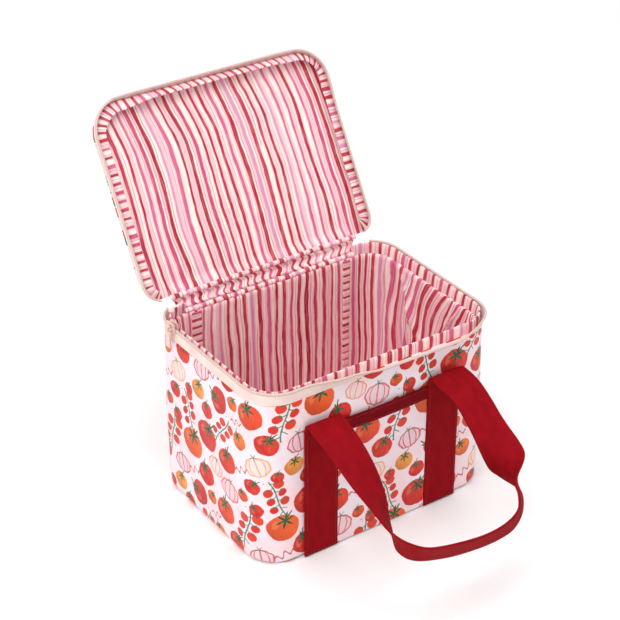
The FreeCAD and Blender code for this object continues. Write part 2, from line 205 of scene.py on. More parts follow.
def rounded_grid(inset, back=D / 2, back_radius=R, step=0.0035, fine=EDGE_STEPS):
    """A grid of points that fills a rounded plan, with each point's distance from the edge."""
    half_x = W / 2 - inset
    low_y, high_y = inset - D / 2, back - inset

    def ticks(low, high):
        count = int((high - low - 2 * fine[-1]) / step) + 1
        middle = list(np.linspace(low + fine[-1], high - fine[-1], count))
        return [low + f for f in fine[:-1]] + middle + [high - f for f in fine[:-1]][::-1]

    xs, ys = ticks(-half_x, half_x), ticks(low_y, high_y)
    points = np.zeros((len(ys), len(xs), 2))
    depth = np.zeros((len(ys), len(xs)))
    for i, y in enumerate(ys):
        for j, x in enumerate(xs):
            from_x, from_y = half_x - abs(x), min(y - low_y, high_y - y)
            level = min(from_x, from_y)
            radius = (R if y - low_y < high_y - y else back_radius) - inset
            corner = radius - level
            px, py = from_x, from_y
            if corner > 1e-6 and from_x - level < corner and from_y - level < corner:
                if from_x > from_y:
                    angle = math.pi / 4 * (1 - (from_x - level) / corner)
                else:
                    angle = math.pi / 2 - math.pi / 4 * (1 - (from_y - level) / corner)
                px = radius - corner * math.sin(angle)
                py = radius - corner * math.cos(angle)
            plan_y = low_y + py if y - low_y < high_y - y else high_y - py
            points[i, j] = (math.copysign(half_x - px, x), plan_y)
            depth[i, j] = level
    return points, depth


def rounded_section(wide, thick, edge=None, flat=8):
    """A strap's section as (across, up, cloth length) points, flat with rounded edges."""
    edge = thick / 2 if edge is None else edge
    points = [(-wide / 2 + edge + (wide - 2 * edge) * k / flat, thick / 2) for k in range(flat + 1)]
    around = (0.6, 1.2, 1.95, 2.55)
    points += [(wide / 2 - edge + edge * math.sin(a), thick / 2 * math.cos(a)) for a in around]
    points += [(-x, -z) for x, z in points]
    lengths = [0.0]
    for (a, b), (c, d) in zip(points, points[1:] + points[:1]):
        lengths.append(lengths[-1] + math.hypot(c - a, d - b))
    return points, lengths


def curve_points(keys, count):
    """Evenly parametrised points on a smooth spline through the keys (Catmull-Rom)."""
    keys = [np.asarray(k, float) for k in keys]
    keys = [2 * keys[0] - keys[1], *keys, 2 * keys[-1] - keys[-2]]
    spans = len(keys) - 3
    result = []
    for n in range(count):
        t = n / (count - 1) * spans
        i = min(int(t), spans - 1)
        t -= i
        a, b, c, d = keys[i:i + 4]
        square, cube = 2 * a - 5 * b + 4 * c - d, 3 * b - a - 3 * c + d
        result.append(0.5 * (2 * b + (c - a) * t + square * t * t + cube * t ** 3))
    return np.array(result)


def turn_about(point, radians):
    """A turn about a line along X, positive as the lid opens."""
    turn = Matrix.Rotation(radians, 4, Vector((-1, 0, 0)))
    return Matrix.Translation(point) @ turn @ Matrix.Translation(-point)


STRIP_POSE = turn_about(LOWER_HINGE, STRIP_LEAN)
LID_POSE = STRIP_POSE @ turn_about(UPPER_HINGE, LID_SWING)


# ---------------------------------------------------------------- materials


def paint(code, alpha=1.0):
    """A colour as its usual hexadecimal code, made linear."""
    parts = [int(code[k:k + 2], 16) / 255 for k in (1, 3, 5)]
    return tuple(c / 12.92 if c <= 0.04045 else ((c + 0.055) / 1.055) ** 2.4 for c in parts) + (alpha,)


class Graph:
    """Short names for the nodes of one material."""

    def __init__(self, name, roughness, sheen=0.0, specular=0.4):
        self.material = bpy.data.materials.new(name)
        self.material.use_nodes = True
        self.tree = self.material.node_tree
        self.shader = self.tree.nodes["Principled BSDF"]
        self.shader.inputs["Roughness"].default_value = roughness
        self.shader.inputs["Specular IOR Level"].default_value = specular
        self.shader.inputs["Sheen Weight"].default_value = sheen
        self.shader.inputs["Sheen Roughness"].default_value = 0.45

    def add(self, kind, inputs, **settings):
        node = self.tree.nodes.new(kind)
        for key, value in settings.items():
            setattr(node, key, value)
        for key, value in inputs.items():
            if isinstance(value, bpy.types.NodeSocket):
                self.tree.links.new(value, node.inputs[key])
            else:
                node.inputs[key].default_value = value
        return node

    def cloth(self):
        return self.add("ShaderNodeUVMap", {}, uv_map="cloth").outputs["UV"]

    def math(self, operation, a, b=0.0, c=0.0):
        return self.add("ShaderNodeMath", {0: a, 1: b, 2: c}, operation=operation).outputs[0]

    def vector(self, operation, a, b=(0, 0, 0), c=(0, 0, 0)):
        node = self.add("ShaderNodeVectorMath", {0: a, 1: b, 2: c}, operation=operation)
        return node.outputs["Value" if operation in ("LENGTH", "DOT_PRODUCT") else "Vector"]

    def place(self, vector, location=(0, 0, 0), turn=0.0, scale=(1, 1, 1)):
        inputs = {"Vector": vector, "Location": location, "Rotation": (0, 0, turn), "Scale": scale}
        return self.add("ShaderNodeMapping", inputs).outputs[0]

    def split(self, vector):
        node = self.add("ShaderNodeSeparateXYZ", {0: vector})
        return node.outputs[0], node.outputs[1]

    def join(self, x, y):
        return self.add("ShaderNodeCombineXYZ", {0: x, 1: y}).outputs[0]

    def noise(self, vector, scale, detail=2.0, roughness=0.5):
        inputs = {"Vector": vector, "Scale": scale, "Detail": detail, "Roughness": roughness}
        return self.add("ShaderNodeTexNoise", inputs, noise_dimensions="2D").outputs["Fac"]

    def below(self, value, limit, soft=0.03):
        """1 where value is under limit, with a soft edge."""
        high = self.math("ADD", limit, soft) if isinstance(limit, bpy.types.NodeSocket) else limit + soft
        low = self.math("SUBTRACT", limit, soft) if isinstance(limit, bpy.types.NodeSocket) else limit - soft
        inputs = {"Value": value, "From Min": low, "From Max": high, "To Min": 1.0, "To Max": 0.0}
        return self.add("ShaderNodeMapRange", inputs, interpolation_type="SMOOTHSTEP").outputs[0]

    def ranged(self, value, low, high, to_low, to_high):
        inputs = {"Value": value, "From Min": low, "From Max": high, "To Min": to_low, "To Max": to_high}
        return self.add("ShaderNodeMapRange", inputs).outputs[0]

    def mix(self, factor, a, b, blend="MIX"):
        node = self.tree.nodes.new("ShaderNodeMix")
        node.data_type, node.blend_type = "RGBA", blend
        for index, value in ((0, factor), (6, a), (7, b)):
            if isinstance(value, bpy.types.NodeSocket):
                self.tree.links.new(value, node.inputs[index])
            else:
                node.inputs[index].default_value = value
        return node.outputs[2]

    def ramp(self, factor, stops, steps=False):
        node = self.add("ShaderNodeValToRGB", {0: factor})
        ramp = node.color_ramp
        ramp.interpolation = "CONSTANT" if steps else "LINEAR"
        for k, (place, colour) in enumerate(stops):
            element = ramp.elements[k] if k < 2 else ramp.elements.new(place)
            element.position, element.color = place, colour
        return node.outputs[0]

    def finish(self, colour, height=None, strength=0.2, distance=0.001, roughness=None):
        links = self.tree.links
        links.new(colour, self.shader.inputs["Base Color"])
        if roughness is not None:
            links.new(roughness, self.shader.inputs["Roughness"])
        if height is not None:
            inputs = {"Height": height, "Strength": strength, "Distance": distance}
            links.new(self.add("ShaderNodeBump", inputs).outputs[0], self.shader.inputs["Normal"])
        return self.material


def weave(g, uv, pitch):
    """The over-and-under of a plain weave as a height from 0 to 1."""
    rate = 2 * math.pi / pitch
    x, y = g.split(g.place(uv, scale=(rate, rate, 1)))
    over = g.math("MULTIPLY", g.math("SINE", x), g.math("SINE", y))
    return g.math("MULTIPLY_ADD", over, 0.5, 0.5)


def striped(name, period, wobble, gloss=0.42):
    """Painterly crimson, rose and pink stripes on cream, across the cloth's first direction."""
    g = Graph(name, gloss, sheen=0.05, specular=0.3)
    uv = g.cloth()
    x, _ = g.split(uv)
    sway = g.noise(g.place(uv, scale=(22, 9, 1)), 1.0, 1.0)
    shiver = g.noise(g.place(uv, scale=(160, 60, 1)), 1.0, 2.0)
    x = g.math("MULTIPLY_ADD", g.math("SUBTRACT", sway, 0.5), wobble, x)
    x = g.math("MULTIPLY_ADD", g.math("SUBTRACT", shiver, 0.5), 0.0016, x)
    x = g.math("DIVIDE", x, period)
    cell = g.math("FLOOR", x)
    place = g.math("SUBTRACT", g.math("SUBTRACT", x, cell), 0.5)
    pick = g.add("ShaderNodeTexWhiteNoise", {"W": cell}, noise_dimensions="1D")
    other_cell = g.math("ADD", cell, 57.3)
    other = g.add("ShaderNodeTexWhiteNoise", {"W": other_cell}, noise_dimensions="1D").outputs["Value"]
    off = g.math("ABSOLUTE", place)
    width = g.math("MULTIPLY_ADD", other, 0.12, 0.12)
    strong = g.below(off, width, 0.025)
    near_edge = g.math("SUBTRACT", 0.5, off)
    thin = g.math("MULTIPLY", g.below(near_edge, g.math("MULTIPLY_ADD", other, 0.05, 0.03), 0.015),
                  g.math("GREATER_THAN", g.noise(g.place(uv, scale=(70, 2, 1)), 1.0, 1.0), 0.47))
    off_middle = g.math("ADD", place, g.math("MULTIPLY_ADD", other, 0.28, -0.14))
    pale = g.below(g.math("ABSOLUTE", off_middle), 0.33, 0.03)
    tone = g.ramp(pick.outputs["Value"], (
        (0.0, paint("#b3152d")), (0.22, paint("#c6456a")), (0.38, paint("#a81226")), (0.56, paint("#cf5f86")),
        (0.70, paint("#bd2842")), (0.88, paint("#d694b4")),
    ), steps=True)
    streak = g.noise(g.place(uv, scale=(900, 55, 1)), 1.0, 3.0, 0.6)
    tone = g.mix(g.ranged(streak, 0.45, 0.8, 0.0, 0.4), tone, paint("#f2b6c4"))
    ground = g.mix(g.ranged(g.noise(g.place(uv, scale=(240, 40, 1)), 1.0, 2.0), 0.35, 0.7, 0.0, 1.0),
                   paint("#f9ebdf"), paint("#f7d9d6"))
    ground = g.mix(g.math("MULTIPLY", pale, 0.85), ground, paint("#f3bcc5"))
    ground = g.mix(g.math("MULTIPLY", thin, 0.7), ground, paint("#d07a9a"))
    colour = g.mix(strong, ground, tone)
    cloth = weave(g, uv, 0.0007)
    blotches = g.noise(g.place(uv, scale=(60, 60, 1)), 1.0, 3.0)
    gloss_map = g.ranged(blotches, 0.3, 0.7, gloss - 0.06, gloss + 0.1)
    return g.finish(colour, cloth, 0.12, 0.0003, gloss_map)


# The print's motifs: red and orange tomatoes, ribbed outlined ones, trusses on a vine and
# tendrils, settled so that none overlap on a square that repeats.
GROW = 1.12
TILE, TILT = 0.107 * GROW, math.radians(17)
MOTIFS = (
    # kind, radius in millimetres, place in the tile, turn in degrees, colour
    ("tomato", 15.0, (14, 96), -12, "#ef5f22"), ("tomato", 12.0, (46, 104), 22, "#dc1f1c"),
    ("tomato", 12.5, (44, 62), 80, "#cf1d1c"), ("tomato", 9.5, (16, 52), -6, "#f1a040"),
    ("tomato", 8.5, (36, 38), 12, "#dd231e"), ("tomato", 15.0, (30, 14), -20, "#d81f1d"),
    ("tomato", 13.5, (84, 88), 14, "#e8481f"), ("tomato", 11.0, (98, 60), -24, "#dd2a1e"),
    ("tomato", 9.0, (74, 52), 34, "#ee7a2c"), ("tomato", 12.5, (66, 22), 8, "#e0341d"),
    ("tomato", 8.0, (104, 30), -30, "#d91f1d"), ("tomato", 6.5, (86, 6), 16, "#e4521f"),
    ("tomato", 7.0, (62, 76), -16, "#ea6a26"), ("tomato", 6.0, (2, 34), 0, "#dd231e"),
    ("tomato", 7.0, (108, 112), 38, "#d5201c"),
    ("ribbed", 12.5, (70, 108), -8, "#d8404a"), ("ribbed", 11.5, (96, 44), 20, "#f0a05c"),
    ("ribbed", 11.5, (12, 74), 10, "#c92340"), ("ribbed", 10.5, (52, 2), -14, "#ee8d5e"),
    ("truss", 21.0, (108, 84), -10, "#d8201c"), ("truss", 18.0, (12, 22), 24, "#cf1d1c"),
    ("truss", 17.0, (52, 34), -32, "#dd231e"),
    ("tendril", 9.0, (30, 78), 18, "#c4283c"), ("tendril", 8.5, (84, 30), 24, "#b8263a"),
    ("tendril", 7.5, (66, 64), 12, "#c4283c"),
)


def settled(motifs):
    """Moves the motifs apart on the repeating square until their discs stay clear of each other."""
    places = [np.array(m[2], float) * GROW for m in motifs]
    room = [GROW * m[1] * {"truss": 0.72, "tendril": 0.75}.get(m[0], 0.93) for m in motifs]
    tile = TILE * 1000
    for _ in range(600):
        for i in range(len(places)):
            for j in range(i):
                gap = places[i] - places[j]
                gap -= tile * np.round(gap / tile)
                far = math.hypot(*gap)
                overlap = (room[i] + room[j] + 0.8 - far) / 2
                if overlap > 0:
                    push = gap / max(far, 0.1) * overlap * 0.5
                    places[i] = places[i] + push
                    places[j] = places[j] - push
    return [p % tile / 1000 for p in places]


def nearest(g, where, motifs):
    """The coordinates inside the nearest of these motifs, with its radius as 1, and its colour."""
    best = None
    for (_, radius, _, turn, code), place in motifs:
        offset = g.vector("SUBTRACT", where, (place[0], place[1], 0))
        offset = g.vector("WRAP", offset, (TILE / 2, TILE / 2, 1), (-TILE / 2, -TILE / 2, -1))
        scale = 1000 / radius / GROW
        local = g.place(offset, turn=-math.radians(turn) - TILT, scale=(scale, scale, 1))
        far = g.vector("LENGTH", local)
        if best is None:
            best = (local, far, paint(code))
            continue
        closer = g.math("LESS_THAN", far, best[1])
        node = g.add("ShaderNodeMix", {0: closer, 4: best[0], 5: local}, data_type="VECTOR")
        best = (node.outputs[1], g.math("MINIMUM", far, best[1]), g.mix(closer, best[2], paint(code)))
    return best


def star(g, x, y, reach, leaves, turn=0.0, slim=1.4):
    """A calyx: 1 inside a star of pointed leaves round the middle."""
    angle = g.math("ADD", g.math("ARCTAN2", y, x), turn)
    part = g.math("MULTIPLY", angle, leaves / (2 * math.pi))
    part = g.math("ABSOLUTE", g.math("SUBTRACT", g.math("FRACT", part), 0.5))
    tip = g.math("POWER", g.math("MULTIPLY", part, 2.0), slim)
    edge = g.math("MULTIPLY_ADD", tip, reach * 0.82, reach * 0.18)
    far = g.math("SQRT", g.math("ADD", g.math("MULTIPLY", x, x), g.math("MULTIPLY", y, y)))
    return g.below(g.math("SUBTRACT", far, edge), 0.0, 0.025)


def oval(g, x, y, width, height, at=(0.0, 0.0)):
    """Distance from a point, with an oval's edge at 1."""
    a = g.math("DIVIDE", g.math("SUBTRACT", x, at[0]), width)
    b = g.math("DIVIDE", g.math("SUBTRACT", y, at[1]), height)
    return g.math("SQRT", g.math("ADD", g.math("MULTIPLY", a, a), g.math("MULTIPLY", b, b)))


def between(g, value, low, high, soft=0.03):
    return g.math("MULTIPLY", g.below(value, high, soft), g.math("SUBTRACT", 1.0, g.below(value, low, soft)))


def printed(name):
    """The outer fabric: smooth woven polyester with the tomato print."""
    g = Graph(name, 0.5, sheen=0.06, specular=0.3)
    uv = g.cloth()
    where = g.place(uv, turn=TILT)
    shake = g.add("ShaderNodeTexNoise", {"Vector": uv, "Scale": 260.0, "Detail": 2.0}, noise_dimensions="2D")
    shake = g.vector("SUBTRACT", shake.outputs["Color"], (0.5, 0.5, 0.5))
    where = g.vector("MULTIPLY_ADD", shake, (0.0011, 0.0011, 0), where)
    spots = settled(MOTIFS)
    kinds = {}
    for motif, place in zip(MOTIFS, spots):
        kinds.setdefault(motif[0], []).append((motif, place))
    brush = g.noise(g.place(uv, turn=0.5, scale=(420, 150, 1)), 1.0, 3.0, 0.6)
    blush = g.noise(uv, 26.0, 2.0)
    colour = g.mix(g.ranged(blush, 0.38, 0.66, 0.0, 1.0), paint("#f1e5ec"), paint("#f6dade"))
    green, deep = paint("#1c6b40"), paint("#0f3f2c")

    # tendrils, where the real cloth has words
    local, _, tone = nearest(g, where, kinds["tendril"])
    x, y = g.split(local)
    fade = g.math("MULTIPLY_ADD", g.math("COSINE", g.math("MULTIPLY", x, 1.7)), 0.26, 0.05)
    wave = g.math("MULTIPLY", g.math("SINE", g.math("MULTIPLY_ADD", x, 7.5, 0.6)), fade)
    line = g.below(g.math("ABSOLUTE", g.math("SUBTRACT", y, wave)), 0.11, 0.04)
    line = g.math("MULTIPLY", line, g.below(g.math("ABSOLUTE", x), 0.95, 0.03))
    colour = g.mix(g.math("MULTIPLY", line, 0.85), colour, tone)

    # ribbed tomatoes, drawn as outlines
    local, _, tone = nearest(g, where, kinds["ribbed"])
    x, y = g.split(local)
    lobes = g.math("MULTIPLY", g.math("COSINE", g.math("MULTIPLY", g.math("ARCTAN2", y, x), 9.0)), 0.025)
    edge = g.math("ADD", oval(g, x, y, 0.96, 0.76), lobes)
    inside = g.below(edge, 0.9, 0.03)
    level = g.math("DIVIDE", y, 0.76)
    curve = g.math("SQRT", g.math("MAXIMUM", g.math("SUBTRACT", 1.0, g.math("MULTIPLY", level, level)), 0.06))
    around = g.math("ARCSINE", g.math("MINIMUM", g.math("MAXIMUM", g.math("DIVIDE", x, curve), -1.0), 1.0))
    rib_share = g.math("FRACT", g.math("MULTIPLY_ADD", around, 1.75, 0.5))
    rib = g.math("ABSOLUTE", g.math("SUBTRACT", rib_share, 0.5))
    ribs = g.math("MULTIPLY", g.below(g.math("MULTIPLY", rib, curve), 0.085, 0.04), inside)
    rim = between(g, edge, 0.85, 0.98)
    colour = g.mix(g.math("MULTIPLY", inside, 0.18), colour, tone)
    colour = g.mix(g.math("MULTIPLY", g.math("MAXIMUM", ribs, rim), 0.85), colour, tone)
    top = g.math("SUBTRACT", y, 0.72)
    colour = g.mix(g.math("MULTIPLY", star(g, x, top, 0.34, 5.0, 0.4, 2.2), 0.75), colour, green)

    # trusses: a stem with small tomatoes to either side
    local, _, tone = nearest(g, where, kinds["truss"])
    x, y = g.split(local)
    x = g.math("SUBTRACT", x, g.math("MULTIPLY", g.math("SINE", g.math("MULTIPLY", y, 3.0)), 0.07))
    within = g.below(g.math("ABSOLUTE", y), 0.95, 0.02)
    stem = g.math("MULTIPLY", g.below(g.math("ABSOLUTE", x), 0.03, 0.016), within)
    aside = g.math("ABSOLUTE", x)
    half_step = g.math("MULTIPLY", g.math("GREATER_THAN", x, 0.0), 0.5)
    step = g.math("SUBTRACT", g.math("DIVIDE", y, 0.44), half_step)
    row = g.math("ROUND", step)
    rise = g.math("MULTIPLY", g.math("SUBTRACT", step, row), 0.44)
    off_twig = g.math("MULTIPLY_ADD", aside, 0.5, g.math("SUBTRACT", rise, 0.17))
    twig = g.below(g.math("ABSOLUTE", off_twig), 0.022, 0.014)
    twig = g.math("MULTIPLY", g.math("MULTIPLY", twig, g.below(aside, 0.26, 0.02)), within)
    colour = g.mix(g.math("MAXIMUM", stem, twig), colour, paint("#2a7f62"))
    kept = g.below(g.math("ABSOLUTE", g.math("MULTIPLY_ADD", row, 0.44, 0.0)), 0.7, 0.01)
    berry = g.math("ADD", row, g.math("SIGN", x))
    hue = g.add("ShaderNodeTexWhiteNoise", {"W": berry}, noise_dimensions="1D")
    size = g.math("MULTIPLY_ADD", hue.outputs["Value"], 0.3, 0.85)
    fruit = g.math("MULTIPLY", g.below(oval(g, aside, rise, 0.21, 0.195, (0.29, -0.02)), size, 0.06), kept)
    ripe = g.mix(g.math("MULTIPLY", hue.outputs["Value"], 0.45), tone, paint("#ee5a2a"))
    colour = g.mix(fruit, colour, ripe)
    cap_star = star(g, g.math("SUBTRACT", aside, 0.25), g.math("SUBTRACT", rise, 0.1), 0.1, 4.0, 0.3)
    cap = g.math("MULTIPLY", cap_star, kept)
    colour = g.mix(cap, colour, green)

    # whole tomatoes
    local, _, tone = nearest(g, where, kinds["tomato"])
    x, y = g.split(local)
    lobes = g.math("MULTIPLY", g.math("COSINE", g.math("MULTIPLY", g.math("ARCTAN2", y, x), 5.0)), 0.018)
    edge = g.math("ADD", oval(g, x, y, 0.95, 0.86), lobes)
    body = g.below(edge, 0.93, 0.03)
    tone = g.mix(g.ranged(brush, 0.42, 0.72, 0.0, 0.2), tone, paint("#f58a4c"))
    side = g.math("MULTIPLY_ADD", x, -0.5, g.math("MULTIPLY", y, -0.6))
    tone = g.mix(g.ranged(side, -0.2, 0.75, 0.05, 0.55), tone, paint("#941017"))
    shine = g.below(oval(g, x, y, 0.17, 0.3, (-0.47, 0.12)), 0.9, 0.3)
    tone = g.mix(g.math("MULTIPLY", shine, 0.2), tone, paint("#ffb488"))
    colour = g.mix(body, colour, tone)
    stalk_x = g.math("SUBTRACT", x, g.math("MULTIPLY_ADD", g.math("MULTIPLY", y, y), 0.3, -0.06))
    stalk = g.math("MULTIPLY", g.below(g.math("ABSOLUTE", stalk_x), 0.05, 0.02), between(g, y, 0.45, 1.12))
    high = g.math("SUBTRACT", y, 0.44)
    calyx = star(g, x, high, 0.56, 6.0, 0.5, 1.5)
    leaf = g.mix(g.ranged(brush, 0.4, 0.65, 0.0, 1.0), green, deep)
    colour = g.mix(g.math("MAXIMUM", calyx, stalk), colour, leaf)

    cloth = weave(g, uv, 0.0006)
    gloss = g.ranged(g.noise(uv, 90.0, 3.0), 0.3, 0.7, 0.44, 0.58)
    return g.finish(colour, cloth, 0.12, 0.0003, gloss)


def webbing_cloth(name, code, dark, rib=0.0013):
    """Woven webbing: fine slanting twill with ribs along the strap."""
    g = Graph(name, 0.8, specular=0.05)
    uv = g.cloth()
    along, across = g.split(uv)
    twill = g.math("SINE", g.math("MULTIPLY", g.math("MULTIPLY_ADD", across, 0.8, along), 2 * math.pi / rib))
    ribs = g.math("SINE", g.math("MULTIPLY", across, 2 * math.pi / 0.0011))
    height = g.math("ADD", g.math("MULTIPLY_ADD", twill, 0.3, 0.5), g.math("MULTIPLY", ribs, 0.2))
    blot = g.noise(g.place(uv, scale=(70, 120, 1)), 1.0, 3.0)
    tone = g.mix(g.ranged(blot, 0.3, 0.7, 0.0, 1.0), paint(code), paint(dark))
    # Painted highlight: the raised twill and ribs are mixed towards a lighter red, as though they catch the
    # light.
    tone = g.mix(g.math("MULTIPLY", height, 0.12), tone, paint("#b0222d"))
    fuzz = g.noise(uv, 3500.0, 2.0)
    height = g.math("ADD", height, g.math("MULTIPLY", fuzz, 0.25))
    return g.finish(tone, height, 0.35, 0.0004)


def tape_cloth(name, code, dark):
    """Zip tape: pale herringbone weave."""
    g = Graph(name, 0.62, sheen=0.25, specular=0.3)
    uv = g.cloth()
    along, across = g.split(uv)
    zig = g.math("ABSOLUTE", g.math("SUBTRACT", g.math("FRACT", g.math("DIVIDE", across, 0.003)), 0.5))
    chevron = g.math("MULTIPLY_ADD", zig, 0.004, along)
    bones = g.math("SINE", g.math("MULTIPLY", chevron, 2 * math.pi / 0.0009))
    blot = g.noise(g.place(uv, scale=(60, 160, 1)), 1.0, 3.0)
    tone = g.mix(g.ranged(blot, 0.35, 0.7, 0.0, 1.0), paint(code), paint(dark))
    return g.finish(tone, g.math("MULTIPLY_ADD", bones, 0.5, 0.5), 0.25, 0.0003)


def plain(name, code, other, roughness, metallic=0.0, scale=400.0, strength=0.15, coat=0.0):
    """Moulded or enamelled surfaces, and thread: a slight mottle in colour and surface."""
    g = Graph(name, roughness, specular=0.5)
    g.shader.inputs["Metallic"].default_value = metallic
    g.shader.inputs["Coat Weight"].default_value = coat
    spot = g.add("ShaderNodeTexCoord", {}).outputs["Object"]
    grain = g.add("ShaderNodeTexNoise", {"Vector": spot, "Scale": scale, "Detail": 3.0}).outputs["Fac"]
    tone = g.mix(g.ranged(grain, 0.3, 0.7, 0.0, 1.0), paint(code), paint(other))
    wear = g.ranged(grain, 0.3, 0.7, max(roughness - 0.08, 0.05), min(roughness + 0.08, 1.0))
    return g.finish(tone, grain, strength, 0.0002, wear)


PRINT = printed("printed_cloth")
LINING = striped("striped_lining_cloth", 0.0084, 0.006)
LADDER = striped("striped_binding_cloth", 0.0108, 0.002)
STRAP = webbing_cloth("red_webbing", "#930c17", "#840913")
TRIM = webbing_cloth("red_trim", "#780914", "#680710")
TAPE = tape_cloth("zip_tape_cloth", "#f3ddd4", "#ecd0c8")
COIL = plain("zip_coil_nylon", "#dcc3ba", "#cfb0a8", 0.4, scale=700.0)
METAL = plain("zip_enamel", "#ecccc2", "#e2bdb3", 0.32, 0.15, 900.0, 0.08, 0.4)
THREAD = plain("red_thread", "#8a1622", "#701019", 0.7, scale=2500.0, strength=0.3)


# ---------------------------------------------------------------- placing a finished piece


def settle(obj, body, slot, *nodes):
    """Gives a piece its body, and hides the CAD nodes that it stands for. The slot is not used."""
    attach(obj, body)
    if nodes:
        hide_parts(*nodes)
    return obj


def posed(obj, matrix):
    """Moves a mesh's own points, so that its object stays at the origin."""
    obj.data.transform(matrix)
    return obj


# ---------------------------------------------------------------- the padded box


def slack(s, z):
    """How far the outer cloth stands in or out of a flat wall, in metres."""
    x, y, nx, ny = BAG.at(s)
    up = math.sin(math.pi * min(max(z / H, 0), 1))
    side = abs(nx) ** 3
    out = 0.0016 * side * up
    out += 0.0007 * ripple(x * 30, y * 30, z * 22, 1)
    out += 0.0005 * ripple(x * 70, y * 70, z * 45, 2)
    if ny < -0.9 or ny > 0.9:
        strap = max(1 - abs(abs(x) - LEG_X) / 0.03, 0)
        out = min(out, 0.0) - 0.0004 - 0.0004 * strap
    return out * up ** 0.4


def box_shell():
    """The padded outside: the printed cloth round the four walls."""
    rise = [0.0054 + (0.157 - 0.0054) * k / 44 for k in range(45)]
    profile = [(0.0060, 0.0003), (0.0044, 0.0005), (0.0026, 0.0012), (0.0012, 0.0025), (0.0003, 0.0042)]
    profile += [(0.0, z) for z in rise]
    profile += [(0.0003, 0.1588), (0.0014, 0.1600), (0.0036, 0.1604), (0.0056, 0.1600), (0.0060, 0.1585)]
    profile += [(0.0060, z) for z in (0.12, 0.08, 0.04, 0.0075)] + [(0.0062, 0.0030)]
    lengths = [0.0]
    for (a, b), (c, d) in zip(profile, profile[1:] + profile[:1]):
        lengths.append(lengths[-1] + math.hypot(c - a, d - b))
    places = stations(0, BAG.around, 0.0028)[:-1]
    rings = []
    for s in places:
        x, y, nx, ny = BAG.at(s)
        ring = []
        for k, (inset, z) in enumerate(profile):
            out = slack(s, z) if 4 <= k < 52 else 0.0
            ring.append((x - nx * (inset - out), y - ny * (inset - out), z))
        rings.append(ring)
    across = [length - 0.0085 for length in lengths]
    obj = swept("outer_cloth", rings, [*places, BAG.around], across, PRINT, closed=True)
    settle(obj, "bag", "printed_fabric", "outer_wrap", "outer_back", "foam_wrap", "foam_back")


def flat_panel(name, inset, low, high, material, lift=None, shift=(0, 0), back=D / 2, back_radius=R):
    """A horizontal panel with a rounded plan. lift(x, y, depth) is added to its top."""
    points, depth = rounded_grid(inset, back, back_radius)
    rows, cols = depth.shape
    top, bottom, uv = np.zeros((rows, cols, 3)), np.zeros((rows, cols, 3)), np.zeros((rows, cols, 2))
    for i in range(rows):
        for j in range(cols):
            x, y = points[i, j]
            top[i, j] = (x, y, high + (lift(x, y, depth[i, j]) if lift else 0.0))
            bottom[i, j] = (x, y, low)
            uv[i, j] = (x + shift[0], y + shift[1])
    return slab(name, top, bottom, uv, material)


def base_and_floor():
    """The printed base and the lined floor inside."""
    under = flat_panel("base_cloth", 0.0048, 0.0, 0.0011, PRINT, shift=(0.4, -0.1))
    settle(under, "bag", "printed_fabric", "outer_base")

    def puff(x, y, depth):
        return 0.0004 * ripple(x * 40, y * 40, 0, 5) + 0.0003

    floor = flat_panel("floor_lining", 0.0064, 0.0012, 0.0069, LINING, puff)
    settle(floor, "bag", "striped_lining", "lining_base", "foam_base")


def crease(s, z):
    """How far the lining stands out from the wall, in metres: soft waves, with folds on the right."""
    level = z / H
    held = smooth(level, 0.03, 0.16) * (1 - smooth(level, 0.9, 1.0) * 0.75)
    wave = 0.0007 * (1 + ripple(s * 38, level * 1.6, 0, 3)) * held
    if BAG.right_start - 0.02 < s < BAG.right_end + 0.02:
        t = (s - BAG.right_start) / (BAG.right_end - BAG.right_start)
        wide = smooth(t, -0.12, 0.1) * (1 - smooth(t, 0.92, 1.1))
        for start, slope, reach, tall in (
            (0.14, 0.30, 0.028, 0.0052), (0.34, -0.42, 0.026, 0.0060), (0.62, 0.35, 0.024, 0.0064),
            (0.80, -0.30, 0.032, 0.0046), (0.46, 0.9, 0.022, 0.0038), (0.95, 0.25, 0.026, 0.0040),
        ):
            middle = start + slope * (level - 0.5) + 0.03 * math.sin(7 * level + start * 9)
            ridge = math.exp(-((t - middle) / reach) ** 2)
            span = math.exp(-((level - 0.62 + 0.25 * math.sin(start * 11)) / 0.36) ** 2)
            wave += tall * ridge * span * wide * held
    if BAG.left_start < s < BAG.front_start:
        t = (s - BAG.left_start) / (BAG.front_start - BAG.left_start)
        wave += 0.0016 * math.sin(math.pi * t) * held * (0.6 + 0.6 * math.sin(9 * t + 5 * level))
    return wave


def drag(s, z):
    """How far the lining's stripes are pulled along the wall, in metres."""
    shift = 0.0016 * ripple(s * 26, z * 14, 0, 45) + 0.0009 * ripple(s * 70, z * 40, 0, 46)
    t = (s - BAG.right_start) / (BAG.right_end - BAG.right_start)
    wide = smooth(t, -0.25, 0.05) * (1 - smooth(t, 0.9, 1.15))
    slant = (0.36 * (1 - smooth(t, 0.1, 0.95)) + 0.05) * (z - 0.09)
    slant += 0.0028 * math.sin(z * 62 + t * 5.0) * smooth(t, 0.1, 0.5)
    for start, slope, jump in ((0.62, 0.20, 0.0050), (0.34, -0.25, 0.0040)):
        middle = start + slope * (z / H - 0.5)
        slant += jump * smooth(t, middle - 0.06, middle + 0.06) * smooth(z, 0.03, 0.07)
    return shift + slant * wide


